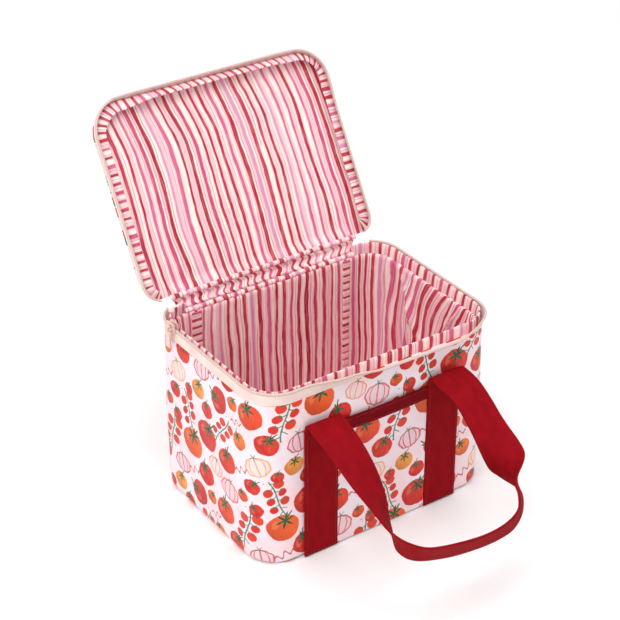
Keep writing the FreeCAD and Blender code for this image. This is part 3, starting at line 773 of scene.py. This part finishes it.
def box_lining():
    """The striped lining of the four walls, with its creases."""
    places = stations(0, BAG.around, 0.0022)[:-1]
    rises = [0.0062 + (0.1590 - 0.0062) * k / 54 for k in range(55)]
    rings = []
    for s in places:
        x, y, nx, ny = BAG.at(s)
        ring = []
        for z in rises:
            inset = 0.0069 + crease(s, z)
            ring.append((x - nx * inset, y - ny * inset, z))
        ring.append((x - nx * 0.0062, y - ny * 0.0062, 0.1606))
        ring.append((x - nx * 0.0052, y - ny * 0.0052, 0.1612))
        for z in (0.1590, 0.12, 0.08, 0.04, 0.0062):
            ring.append((x - nx * 0.0061, y - ny * 0.0061, z))
        rings.append(ring[::-1])
    across = [0.16 + 0.006 * k for k in range(7)][::-1] + rises[::-1] + [0.0]
    obj = swept("box_lining", rings, [*places, BAG.around], across, LINING, closed=True, sharp=60)
    layer = obj.data.uv_layers["cloth"].data
    spots = np.zeros(len(layer) * 2, np.float32)
    layer.foreach_get("uv", spots)
    spots = spots.reshape(-1, 2)
    spots[:, 0] += [drag(float(a), float(b)) for a, b in spots]
    layer.foreach_set("uv", spots.ravel())
    settle(obj, "bag", "striped_lining", "lining_wrap", "lining_back")


def bound_ring(name, places, foot, tip, thick, material, closed=False, pucker=0.0003, seed=4,
               outline_of=BAG, rate=1.0):
    """A folded binding along the plan. foot(s) and tip(s) give (inset, height) of its two edges."""
    rings, lengths = [], None
    for s in places:
        x, y, nx, ny = outline_of.at(s)
        (a, low), (b, high) = foot(s), tip(s)
        run = math.hypot(b - a, high - low)
        dx, dz = (b - a) / run, (high - low) / run
        ring = []
        outline = [(0.0, 0.5), (0.25, 0.56), (0.5, 0.6), (0.75, 0.58), (0.93, 0.46), (1.0, 0.22)]
        outline += [(t, -w) for t, w in outline[::-1]]
        lengths = [0.0]
        for k, (t, w) in enumerate(outline):
            puckered = pucker * ripple(s * 300, t * 2.0, 0, seed) * (0.4 + t)
            inset = a + dx * run * t + dz * (-w) * thick
            height = low + dz * run * t + dx * w * thick
            inset += puckered
            ring.append((x - nx * inset, y - ny * inset, height + 0.4 * puckered * t))
            nt, nw = outline[(k + 1) % len(outline)]
            lengths.append(lengths[-1] + math.hypot((nt - t) * run, (nw - w) * thick))
        rings.append(ring)
    along = [*places, outline_of.around] if closed else places
    return swept(name, rings, [rate * s for s in along], lengths, material, closed)


def seams():
    """The bound seams inside the box: round the base and up the back wall's sides."""
    places = stations(0, BAG.around, 0.003)[:-1]
    obj = bound_ring("base_seam", places, lambda s: (0.0085, 0.0074), lambda s: (0.0080, 0.0148),
                     0.0016, LADDER, closed=True)
    settle(obj, "bag", "striped_binding", "base_seam_binding")
    for side, sign in (("left", -1), ("right", 1)):
        rings, rises = [], stations(0.0152, 0.1600, 0.0022)
        section, lengths = rounded_section(0.0098 if sign < 0 else 0.0074, 0.0017, flat=6)
        for z in rises:
            sway = 0.0005 * ripple(z * 60, sign, 0, 6)
            ring = []
            for across, up in section:
                lump = 0.0003 * ripple(across * 350, z * 330, sign, 8)
                ring.append((sign * 0.0795 + across + sway, 0.0780 - up - lump, z))
            rings.append(ring)
        obj = swept(f"back_seam_{side}", rings, [1.45 * z for z in rises], lengths, LADDER)
        settle(obj, "bag", "striped_binding", f"back_seam_binding_{side}")


OPEN_START, OPEN_END = BAG.open_start - 0.001, BAG.open_end + 0.001
TAPE_LEAN = (
    (OPEN_START, 4), (BAG.left_start, 0), (BAG.left_end, 0), (BAG.front_start + 0.01, 8),
    (BAG.front_start + 0.05, 36), (BAG.middle, 58), (BAG.front_end - 0.02, 61),
    (BAG.front_end + 0.02, 16), (BAG.right_start, 3), (BAG.right_end, 2),
)
RIM_LEAN = (
    (OPEN_START, 6), (BAG.left_start + 0.03, 9), (BAG.left_end, 8), (BAG.front_start, 2), (BAG.middle, 0),
    (BAG.front_end, 0), (BAG.right_start + 0.01, -11), (BAG.right_end, -9), (OPEN_END, -4),
)


def tape_line(s, height, lean_keys=TAPE_LEAN, foot=(0.0006, RIM_FOOT), sign=1):
    """(inset, height) of a point on the zip tape at a distance up from its foot."""
    lean = math.radians(eased(s, lean_keys))
    bend = min(height / 0.004, 1.0)
    out = math.sin(lean) * height * (0.6 + 0.4 * bend)
    return foot[0] - out, foot[1] + sign * math.cos(lean * (0.6 + 0.4 * bend)) * height


def tape_strip(name, places, line, tall, material, outline_of=BAG):
    """The tape's strip: a thin sheet from its foot to its free edge."""
    rows = [0.0, 0.001, 0.002, 0.0032, tall]
    if tall > 0.0085:
        rows = [0.0, 0.0012, 0.0026, 0.0042, 0.006, 0.0078, tall]
    rings, lengths = [], None
    for s in places:
        x, y, nx, ny = outline_of.at(s)
        ring = []
        for side in (0.00035, -0.00035):
            for height in rows if side > 0 else rows[::-1]:
                inset, z = line(s, height)
                wave = 0.0003 * ripple(s * 55, height * 100, 0, 11) * height / tall
                ring.append((x - nx * (inset - side - wave), y - ny * (inset - side - wave), z))
        rings.append(ring)
        lengths = [*rows, *(tall + 0.0007 + tall - r for r in rows[::-1]), 2 * tall + 0.0014]
    return swept(name, rings, places, lengths, material)


def coil_strip(name, places, line, at, outline_of=BAG, radius=0.00105):
    """The nylon coil: a tube whose turns show as ridges, sewn along the tape's free edge."""
    rings = []
    pitch = 0.0016
    steps = np.arange(places[0], places[-1], pitch / 3)
    for k, s in enumerate(steps):
        x, y, nx, ny = outline_of.at(s)
        inset, z = line(s, at)
        low_inset, low_z = line(s, at - 0.001)
        run = math.hypot(inset - low_inset, z - low_z)
        ui, uz = (inset - low_inset) / run, (z - low_z) / run
        swell = 1.0 + 0.16 * math.cos(2 * math.pi * k / 3)
        ring = []
        for a in range(8):
            angle = 2 * math.pi * a / 8
            up, out = 1.35 * radius * swell * math.cos(angle), radius * swell * math.sin(angle)
            inward = inset + ui * up - uz * out
            ring.append((x - nx * inward, y - ny * inward, z + uz * up + ui * out))
        rings.append(ring)
    lengths = [0.0009 * k for k in range(9)]
    return swept(name, rings, steps, lengths, COIL, sharp=70)


def rim():
    """The rim's binding, the lower half of the zip and its end tabs."""
    places = stations(OPEN_START, OPEN_END, 0.0024)
    zipped = stations(OPEN_START + 0.0185, OPEN_END - 0.0185, 0.0024)

    def tip(s):
        lean = math.radians(eased(s, RIM_LEAN))
        tall = 0.0114 + 0.0004 * ripple(s * 50, 0, 0, 9)
        return 0.0040 + math.sin(lean) * tall, RIM_FOOT - 0.0006 + math.cos(lean) * tall

    obj = bound_ring("rim_binding_cloth", places, lambda s: (0.0040, RIM_FOOT - 0.0006), tip, 0.0019, LADDER)
    settle(obj, "bag", "striped_binding", "rim_binding")
    obj = tape_strip("zip_tape_low", zipped, tape_line, 0.0095, TAPE)
    settle(obj, "bag", "zip_tape", "zip_tape_lower")
    obj = coil_strip("zip_coil_low", zipped, tape_line, 0.0109)
    settle(obj, "bag", "zip_coil", "zip_coil_lower")
    for side, start in (("left", OPEN_START + 0.0006), ("right", OPEN_END - 0.0192)):
        section, lengths = rounded_section(0.0134, 0.0034, 0.0014, flat=5)
        rings, spots = [], stations(start, start + 0.0186, 0.0012)
        for k, s in enumerate(spots):
            x, y, nx, ny = BAG.at(s)
            end = min(k, len(spots) - 1 - k)
            slim = 0.55 + 0.45 * min(end / 3, 1) + 0.06 * ripple(s * 320, 0, 0, 13)
            ring = []
            for a, u in section:
                inset, z = 0.0014 - u * slim, RIM_FOOT + 0.0046 + a * 0.68 * (0.8 + 0.2 * slim)
                ring.append((x - nx * inset, y - ny * inset, z))
            rings.append(ring[::-1])
        tab = swept(f"zip_end_{side}", rings, spots, lengths, TAPE)
        settle(tab, "bag", "zip_tape", f"zip_end_tab_{side}")


# ---------------------------------------------------------------- the hinge strip


ALONG = Vector((0, math.sin(STRIP_LEAN), math.cos(STRIP_LEAN)))
INWARD = Vector((0, -math.cos(STRIP_LEAN), math.sin(STRIP_LEAN)))
STRIP = (UPPER_HINGE - LOWER_HINGE).length
BEAD_AT = 0.0136


def bead(name, middle, half, seed):
    """A bound seam: a soft roll along X whose cloth puckers between its stitches."""
    rings, places = [], stations(-half, half, 0.0013)
    for x in places:
        pinch = 1.0 + 0.14 * math.sin(x * 2 * math.pi / 0.0078 + seed) + 0.1 * ripple(x * 260, 0, 0, seed)
        drift = 0.0006 * ripple(x * 70, 2, 0, seed)
        ring = []
        for k in range(14):
            angle = 2 * math.pi * k / 14
            wide, tall = 0.0019 * pinch, 0.0023 * pinch
            here = Vector((x, 0, drift)) + middle
            ring.append(here + INWARD * wide * math.cos(angle) + ALONG * tall * math.sin(angle))
        rings.append(ring)
    lengths = [0.001 * k for k in range(15)]
    return swept(name, rings, places, lengths, LADDER, sharp=70)


def strip_point(x, t, off):
    """A point of the hinge strip as it rests: t up from the lower hinge line, off towards the inside."""
    start = LOWER_HINGE + Vector((x, 0, 0))
    if t < 0:
        return start + Vector((0, -off, t))
    return start + ALONG * t + INWARD * off


def hinge_beads():
    """The bound seams along the strip's two edges."""
    low = bead("hinge_seam_low", Vector((0, 0.0816, H + 0.0024)), 0.0900, 1.0)
    settle(low, "bag", "striped_binding", "hinge_binding_lower")
    high = bead("hinge_seam_high", strip_point(0, BEAD_AT, 0.0020), 0.0975, 2.0)
    settle(high, "hinge_flap", "striped_binding", "hinge_binding_upper")


def cloth_grid(rows, cols):
    """Empty arrays for a slab's front, its back and its place on the cloth."""
    return np.zeros((rows, cols, 3)), np.zeros((rows, cols, 3)), np.zeros((rows, cols, 2))


def hinge():
    """Two layers from the back wall to the lid, each in two halves that meet on the hinge flap.
    Above the upper bound seam the lining goes on as the lid's own."""
    for layer, material, slot, node in (
        ("lining", LINING, "striped_lining", "hinge_strip_lining"),
        ("outer", PRINT, "printed_fabric", "hinge_strip_outer"),
    ):
        inside = layer == "lining"
        lid_end = STRIP + (0.0075 if inside else 0.003)
        for part, start, end in (("low", -0.0028, STRIP / 2), ("high", STRIP / 2, lid_end)):
            xs, ts = stations(-0.0965, 0.0965, 0.002), stations(start, end, 0.0009)
            front, back, uv = cloth_grid(len(ts), len(xs))
            for i, t in enumerate(ts):
                for j, x in enumerate(xs):
                    bulge = smooth(t, 0.0, 0.003) * (1 - smooth(t, BEAD_AT - 0.003, BEAD_AT))
                    wave = 0.0011 * ripple(x * 60, t * 210, 0, 14) * bulge
                    fold = 0.0012 * math.sin(t / BEAD_AT * math.pi * 3) * bulge
                    off = wave - 0.0004
                    if inside:
                        off = wave + fold + 0.0009 - 0.0021 * smooth(t, STRIP - 0.002, STRIP + 0.007)
                    reach = 1 - 0.045 * (1 - smooth(t, 0.0, STRIP))
                    front[i, j] = strip_point(x * reach, t, off)
                    back[i, j] = strip_point(x * reach, t, off - SHEET)
                    waver = 2.4 * ripple(x * 34, 0, 0, 15)
                    zig = 0.0022 * math.sin(t / BEAD_AT * math.pi * 2.6 + waver) * bulge
                    slant = 0.0020 * ripple(x * 60, t * 120, 0, 16) * bulge
                    sway = 0.0022 * ripple(x * 14, LID_BACK * 22, 0, 23) * smooth(t, BEAD_AT - 0.003, STRIP)
                    uv[i, j] = (BAG.around - x, H + t)
                    if inside:
                        uv[i, j] = (x + zig + slant + sway, t - STRIP - UPPER_HINGE.y)
            obj = slab(f"hinge_{layer}_{part}", back, front, uv, material, sharp=70)
            if part == "low":
                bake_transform(obj)
                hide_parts(node)
            else:
                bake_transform(obj)


# ---------------------------------------------------------------- the lid


LID_TILT = (
    (LID.open_start, 38), (LID.left_start + 0.03, 22), (LID.left_end - 0.01, 14),
    (LID.front_start, 34), (LID.front_start + 0.03, 59), (LID.front_end - 0.03, 60),
    (LID.front_end, 48), (LID.right_start + 0.01, 24), (LID.right_end, 18),
)
LID_TAPE_LEAN = (
    (LID.open_start, 4), (LID.left_end, 4), (LID.front_start + 0.02, 22), (LID.front_end - 0.02, 24),
    (LID.right_start, -8), (LID.right_start + 0.03, -18), (LID.right_end, -14),
)


def lid_tape_line(s, height):
    """The same line for the lid's tape, which hangs from the lid's floor."""
    return tape_line(s, height, LID_TAPE_LEAN, (0.0006, LID_FLOOR - 0.0002), -1)


def over_the_hinge(obj, slot, *nodes):
    """Lays a soft piece of the lid in its rest place, and hides the CAD nodes that it stands for."""
    posed(obj, LID_POSE)
    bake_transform(obj)
    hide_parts(*nodes)


def lid():
    """The lid, modelled closed and then laid in its rest place."""
    def crown(x, y, depth):
        edge = 0.0044 * (1 - math.sqrt(1 - max(1 - depth / 0.010, 0) ** 2))
        rise = 0.0016 * (1 - math.exp(-depth / 0.016))
        uneven = 0.0004 * ripple(x * 25, y * 25, 0, 20) * min(depth / 0.01, 1)
        return rise + uneven - edge

    panel = flat_panel("lid_cloth", 0.0002, LID_FLOOR + 0.0007, LID_HEAD - 0.0008, PRINT, crown, (0.21, 0.33),
                       LID_BACK + 0.0008, 0.018)
    posed(panel, LID_POSE)
    settle(panel, "lid", "printed_fabric", "lid_outer", "lid_foam")

    points, depth = rounded_grid(0.0016, LID.back, 0.016)
    rows, cols = depth.shape
    front, back, uv = cloth_grid(rows, cols)
    for i in range(rows):
        for j in range(cols):
            x, y = points[i, j]
            free = smooth(depth[i, j], 0.0, 0.03)
            near_front = smooth(-y, 0.035, 0.07)
            wave = 0.0011 * (0.5 + ripple(x * 32 + y * 6, y * 9, 0, 21)) * free
            gather = math.sin(x * 2 * math.pi / 0.031 + 2.2 * ripple(x * 12, 0, 0, 22))
            wave += 0.0013 * near_front * (0.5 + 0.5 * gather) * free
            front[i, j] = (x, y, LID_FLOOR - wave)
            back[i, j] = (x, y, LID_FLOOR + 0.0006)
            bend = 0.0075 * smooth(-y, 0.03, 0.088) + 0.0022 * ripple(x * 14, y * 22, 0, 23)
            uv[i, j] = (x + bend, -y)
    lining = slab("lid_lining_cloth", back, front, uv, LINING, sharp=70)
    over_the_hinge(lining, "striped_lining", "lid_lining")

    places = stations(LID.open_start + 0.004, LID.open_end - 0.004, 0.0024)

    def tip(s):
        tilt = math.radians(eased(s, LID_TILT))
        narrow = 0.0020 * (1 - smooth(s, LID.left_end, LID.front_start))
        wide = 0.0104 - narrow + 0.0005 * ripple(s * 45, 0, 0, 24)
        return 0.0018 + math.cos(tilt) * wide, LID_FLOOR - 0.0016 - math.sin(tilt) * wide

    binding = bound_ring("lid_binding_cloth", places, lambda s: (0.0018, LID_FLOOR - 0.0014), tip,
                         0.0017, LADDER, seed=25, outline_of=LID, rate=1.4)
    over_the_hinge(binding, "striped_binding", "lid_binding")
    tape = tape_strip("zip_tape_high", places, lid_tape_line, 0.0044, TAPE, LID)
    over_the_hinge(tape, "zip_tape", "zip_tape_upper")
    coil = coil_strip("zip_coil_high", places, lid_tape_line, 0.0058, LID)
    over_the_hinge(coil, "zip_coil", "zip_coil_upper")


# ---------------------------------------------------------------- handles and pocket


def strap(name, centres, wides, normals, width=WEBBING, thick=THICK, material=STRAP, widths=None):
    """Webbing swept along its middle line. wides and normals give its two directions at each point."""
    section, lengths = rounded_section(width, thick, flat=10)
    rings, along = [], [0.0]
    for k, (c, w, n) in enumerate(zip(centres, wides, normals)):
        share = widths[k] if widths is not None else 1.0
        rings.append([tuple(c + w * a * share + n * u) for a, u in section])
        if k:
            along.append(along[-1] + float(np.linalg.norm(c - centres[k - 1])))
    return swept(name, rings, along, lengths, material, sharp=50)


def stitches(name, starts, ends, normals, body, radius=0.00032):
    """Separate stitches, each a small rounded thread that dips at both ends."""
    verts, faces, uvs = [], [], []
    for a, b, n in zip(starts, ends, normals):
        a, b, n = (np.asarray(v, float) for v in (a, b, n))
        side = np.cross(b - a, n)
        side /= np.linalg.norm(side)
        base = len(verts)
        for t, lift in ((0.0, -0.9), (0.18, 0.25), (0.5, 0.6), (0.82, 0.25), (1.0, -0.9)):
            middle = a + (b - a) * t + n * lift * radius
            for k in range(6):
                angle = math.pi / 3 * k
                verts.append(middle + side * radius * math.cos(angle) + n * radius * math.sin(angle))
        for i in range(4):
            for k in range(6):
                m = (k + 1) % 6
                p, q = base + i * 6, base + (i + 1) * 6
                faces.append((p + k, p + m, q + m, q + k))
                uvs.append(((0, 0), (0, 0.001), (0.001, 0.001), (0.001, 0)))
        faces.append(tuple(base + k for k in range(5, -1, -1)))
        faces.append(tuple(base + 24 + k for k in range(6)))
        uvs += [((0, 0),) * 6, ((0, 0),) * 6]
    obj = mesh_piece(name, verts, faces, uvs, THREAD, 80)
    return settle(obj, body, "webbing")


def seam_row(points, normal, pitch=0.0031, length=0.0023):
    """Starts and ends of stitches along a line of points."""
    starts, ends = [], []
    for a, b in zip(points, points[1:]):
        a, b = np.asarray(a, float), np.asarray(b, float)
        run = np.linalg.norm(b - a)
        for k in range(int(run / pitch)):
            starts.append(a + (b - a) * (k * pitch + 0.0004) / run)
            ends.append(a + (b - a) * (k * pitch + 0.0004 + length) / run)
    return starts, ends, [normal] * len(starts)


def sew(threads, points, normal):
    """Adds a row of stitches to the lists of starts, ends and normals."""
    for store, new in zip(threads, seam_row(points, normal)):
        store.extend(new)


def legs():
    """The four webbing legs with their stitches."""
    threads = ([], [], [])
    for face, sign in (("front", -1), ("back", 1)):
        for side, across in (("left", -1), ("right", 1)):
            rises = stations(0.0012, 0.1288, 0.003)
            centres = []
            for z in rises:
                lift = 0.0004 * ripple(across, sign, z * 25, 30)
                centres.append(np.array((across * LEG_X, sign * (LEG_STAND + max(lift, 0)), z)))
            wides = [np.array((1.0, 0, 0))] * len(rises)
            normals = [np.array((0, float(sign), 0))] * len(rises)
            obj = strap(f"{face}_strap_{side}", centres, wides, normals, thick=0.0018)
            settle(obj, "bag", "webbing", f"{face}_leg_{side}")
            for edge in (-1, 1):
                x, y = across * LEG_X + edge * (WEBBING / 2 - 0.0026), sign * (D / 2 + 0.0022)
                sew(threads, [(x, y, 0.003), (x, y, 0.122)], (0, sign, 0))
            for height in (0.1215, 0.0035):
                reach = WEBBING / 2 - 0.003
                y = sign * (D / 2 + 0.0022)
                ends = [(across * LEG_X + way * reach, y, height) for way in (-1, 1)]
                sew(threads, ends, (0, sign, 0))
    stitches("strap_stitching", *threads, "bag")


def pocket():
    """The slip pocket between the front legs, with its red mouth and two rows of stitches."""
    half = LEG_X - WEBBING / 2 - 0.0002

    def belly(x):
        return 0.0012 * math.sin(math.pi * (x + half) / (2 * half))

    xs, zs = stations(-half, half, 0.003), stations(0.0014, 0.1152, 0.003)
    front, back, uv = cloth_grid(len(zs), len(xs))
    for i, z in enumerate(zs):
        for j, x in enumerate(xs):
            t = z / 0.115
            out = 0.0006 + belly(x) * t ** 1.5 + 0.0003 * ripple(x * 30, z * 30, 0, 31)
            front[i, j] = (x, -D / 2 - 0.0004 - out, z)
            back[i, j] = (x, -D / 2 - 0.0001, z)
            uv[i, j] = (BAG.middle + x + 0.003, z - 0.001)
    obj = slab("pocket_cloth", front, back, uv, PRINT)
    settle(obj, "bag", "printed_fabric", "pocket_panel")
    section, lengths = rounded_section(0.0132, 0.0016, flat=8)
    rings, places = [], stations(-half, half, 0.003)
    for x in places:
        middle = -D / 2 - 0.0014 - belly(x)
        rings.append([(x, middle - u, 0.1206 + a + 0.0004 * ripple(x * 40, 0, 0, 32)) for a, u in section])
    obj = swept("pocket_edge", rings, places, lengths, TRIM, sharp=50)
    settle(obj, "bag", "webbing", "pocket_trim")
    rows = ([], [], [])
    for z in (0.1162, 0.1250):
        mouth = stations(-half + 0.001, half - 0.001, 0.015)
        sew(rows, [(x, -D / 2 - 0.0023 - belly(x), z) for x in mouth], (0, -1, 0))
    stitches("pocket_stitching", *rows, "bag")


def front_loop():
    """The front loop, drawn in the plane it droops in: across, out from the fold and up off the
    plane in millimetres, and how far it has turned on edge, in degrees."""
    keys = (
        (-63, 2.5, 3.0, 0), (-62.5, 9, 4.4, 0), (-60.5, 22, 5.0, 2), (-58.5, 38, 4.5, 6),
        (-57, 55, 3.2, 14), (-56.5, 72, 2.0, 28), (-57.5, 89, 1.0, 46), (-57.5, 105, 0.5, 60),
        (-53.5, 119, 0, 78), (-41, 130, 0, 86), (-14, 137, 0, 90), (13, 140, 0, 92),
        (36, 139, 0, 98), (53, 134, 0, 108), (64.5, 123, 0, 120), (69.5, 110, 0.5, 122),
        (71.5, 97, 1.0, 84), (71.5, 84, 2.4, 36), (70.8, 68, 3.6, 12), (70.2, 53, 4.6, 2),
        (69.8, 36, 5.5, 0), (68.8, 20, 5.2, 0), (65.5, 9, 4.4, 0), (63, 2.5, 3.0, 0),
    )
    count = 190
    track = curve_points(keys, count)
    droop = math.radians(35)
    out = np.array((0, -math.cos(droop), -math.sin(droop)))
    up = np.array((0, -math.sin(droop), math.cos(droop)))
    across = np.array((1.0, 0, 0))
    middle = np.array(FOLD)
    centres = [middle + (across * x + out * f + up * h) / 1000 for x, f, h, _ in track]
    wides, normals = [], []
    for k, (_, _, _, edge) in enumerate(track):
        ahead = centres[min(k + 1, count - 1)] - centres[max(k - 1, 0)]
        ahead /= np.linalg.norm(ahead)
        beside = np.cross(ahead, up)
        beside /= np.linalg.norm(beside)
        lift = np.cross(beside, ahead)
        turn = math.radians(edge)
        wide = beside * math.cos(turn) + lift * math.sin(turn)
        wides.append(wide)
        normals.append(np.cross(ahead, wide))

    def fold_end(sign):
        """Each end folds over and comes down inside to meet its leg."""
        places, sides, faces = [], [], []
        for k in range(10):
            angle = math.radians(-35 + 125 * k / 9)
            y = FOLD.y - 0.0005 + 0.0033 * math.sin(angle)
            z = FOLD.z - 0.0012 + 0.0036 * math.cos(angle)
            places.append(np.array((sign * LEG_X, y, z)))
            sides.append(across * sign)
            faces.append(-np.array((0, math.sin(angle), math.cos(angle))))
        return places, sides, faces

    start, end = fold_end(-1), fold_end(1)
    feet = [np.array((sign * LEG_X, -LEG_STAND, LOOP_FOOT)) for sign in (-1, 1)]
    all_centres = [feet[0], *start[0][::-1], *centres[3:-3], *end[0], feet[1]]
    flat_face = np.array((0, -1.0, 0))
    all_wides = [start[1][-1], *start[1][::-1], *wides[3:-3], *end[1], end[1][-1]]
    all_normals = [flat_face, *start[2][::-1], *normals[3:-3], *end[2], flat_face]
    obj = strap("front_loop_webbing", all_centres, all_wides, all_normals)
    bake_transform(obj)
    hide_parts("front_handle_loop")


def back_loop():
    """The back loop hangs flat: down one side, across the bottom and up the other."""
    radius = 0.030
    x0, top, bottom = LEG_X, BACK_FOLD.z, 0.0215
    line = [(-x0, z) for z in np.linspace(top, bottom + radius, 26)]
    for a in np.linspace(0, math.pi / 2, 14)[1:]:
        line.append((-x0 + radius * (1 - math.cos(a)), bottom + radius * (1 - math.sin(a))))
    line += [(x, bottom) for x in np.linspace(-x0 + radius, x0 - radius, 16)[1:-1]]
    line += [(-x, z) for x, z in line[::-1] if x < -x0 + radius + 1e-9]
    centres, wides, normals = [], [], []
    for k, (x, z) in enumerate(line):
        a, b = line[max(k - 1, 0)], line[min(k + 1, len(line) - 1)]
        ahead = np.array((b[0] - a[0], 0, b[1] - a[1]))
        ahead /= np.linalg.norm(ahead)
        sag = 0.0006 * ripple(x * 30, 0, z * 30, 40)
        centres.append(np.array((x, BACK_FOLD.y + sag, z)))
        wides.append(np.array((ahead[2], 0, -ahead[0])))
        normals.append(np.array((0, 1.0, 0)))
    over_left, over_right = [], []
    for k in range(9):
        angle = math.radians(-90 + 160 * k / 8)
        y = BACK_FOLD.y - 0.0017 - 0.0024 * math.sin(angle)
        z = BACK_FOLD.z + 0.0003 + 0.0030 * math.cos(angle)
        face = np.array((0, -math.sin(angle), math.cos(angle)))
        over_left.append((np.array((-x0, y, z)), wides[0], face))
        over_right.append((np.array((x0, y, z)), wides[-1], face))
    foot_left = (np.array((-x0, LEG_STAND, LOOP_FOOT)), wides[0], np.array((0, -1.0, 0)))
    foot_right = (np.array((x0, LEG_STAND, LOOP_FOOT)), wides[-1], np.array((0, -1.0, 0)))
    everything = [foot_left, *over_left[::-1], *zip(centres, wides, normals), *over_right, foot_right]
    obj = strap("back_loop_webbing", *(list(part) for part in zip(*everything)))
    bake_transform(obj)
    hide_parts("back_handle_loop")


# ---------------------------------------------------------------- zip hardware


def hardware():
    """Enamel and softened edges for the zip's slider and pull."""
    for node in ("zip_slider", "zip_pull"):
        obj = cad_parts[node]
        for slot in obj.material_slots:
            slot.material = METAL
        edge = obj.modifiers.new("softened", "BEVEL")
        edge.width, edge.segments, edge.limit_method = 0.00022, 2, "ANGLE"


# ---------------------------------------------------------------- stage


def stage():
    """The floor, lights, world and camera."""
    floor = bpy.data.meshes.new("floor")
    reach = 8.0
    corners = [(-reach, -reach, 0), (reach, -reach, 0), (reach, reach, 0), (-reach, reach, 0)]
    floor.from_pydata(corners, [], [(0, 1, 2, 3)])
    ground = bpy.data.objects.new("floor", floor)
    ground.location.z = -0.0002
    scene.collection.objects.link(ground)
    matte = bpy.data.materials.new("floor_paint")
    matte.use_nodes = True
    matte.node_tree.nodes["Principled BSDF"].inputs["Base Color"].default_value = (0.97, 0.97, 0.97, 1)
    matte.node_tree.nodes["Principled BSDF"].inputs["Roughness"].default_value = 0.9
    floor.materials.append(matte)
    world = bpy.data.worlds.new("studio")
    world.use_nodes = True
    world.node_tree.nodes["Background"].inputs["Color"].default_value = (1, 1, 1, 1)
    world.node_tree.nodes["Background"].inputs["Strength"].default_value = 0.62
    scene.world = world
    for name, place, size, power in (
        ("key", (-1.7, -0.8, 2.3), 1.8, 36), ("fill", (1.9, -1.2, 1.5), 2.0, 7),
        ("top", (-0.1, 0.0, 2.6), 2.2, 28),
    ):
        light = bpy.data.lights.new(name, "AREA")
        light.size, light.energy = size, power
        lamp = bpy.data.objects.new(name, light)
        lamp.location = place
        lamp.rotation_euler = (Vector((0, 0, 0.12)) - Vector(place)).to_track_quat("-Z", "Y").to_euler()
        scene.collection.objects.link(lamp)
    lens = bpy.data.cameras.new("camera")
    lens.lens, lens.sensor_width, lens.clip_end = 106.2, 36.0, 50.0
    camera = bpy.data.objects.new("camera", lens)
    camera.location = (-0.7666, -1.0941, 0.9720)
    target = Vector((-0.0144, 0, 0.1786))
    camera.rotation_euler = (target - camera.location).to_track_quat("-Z", "Y").to_euler()
    scene.collection.objects.link(camera)
    scene.camera = camera


stage()
box_shell()
base_and_floor()
box_lining()
seams()
rim()
hinge_beads()
hinge()
lid()
legs()
pocket()
front_loop()
back_loop()
hardware()
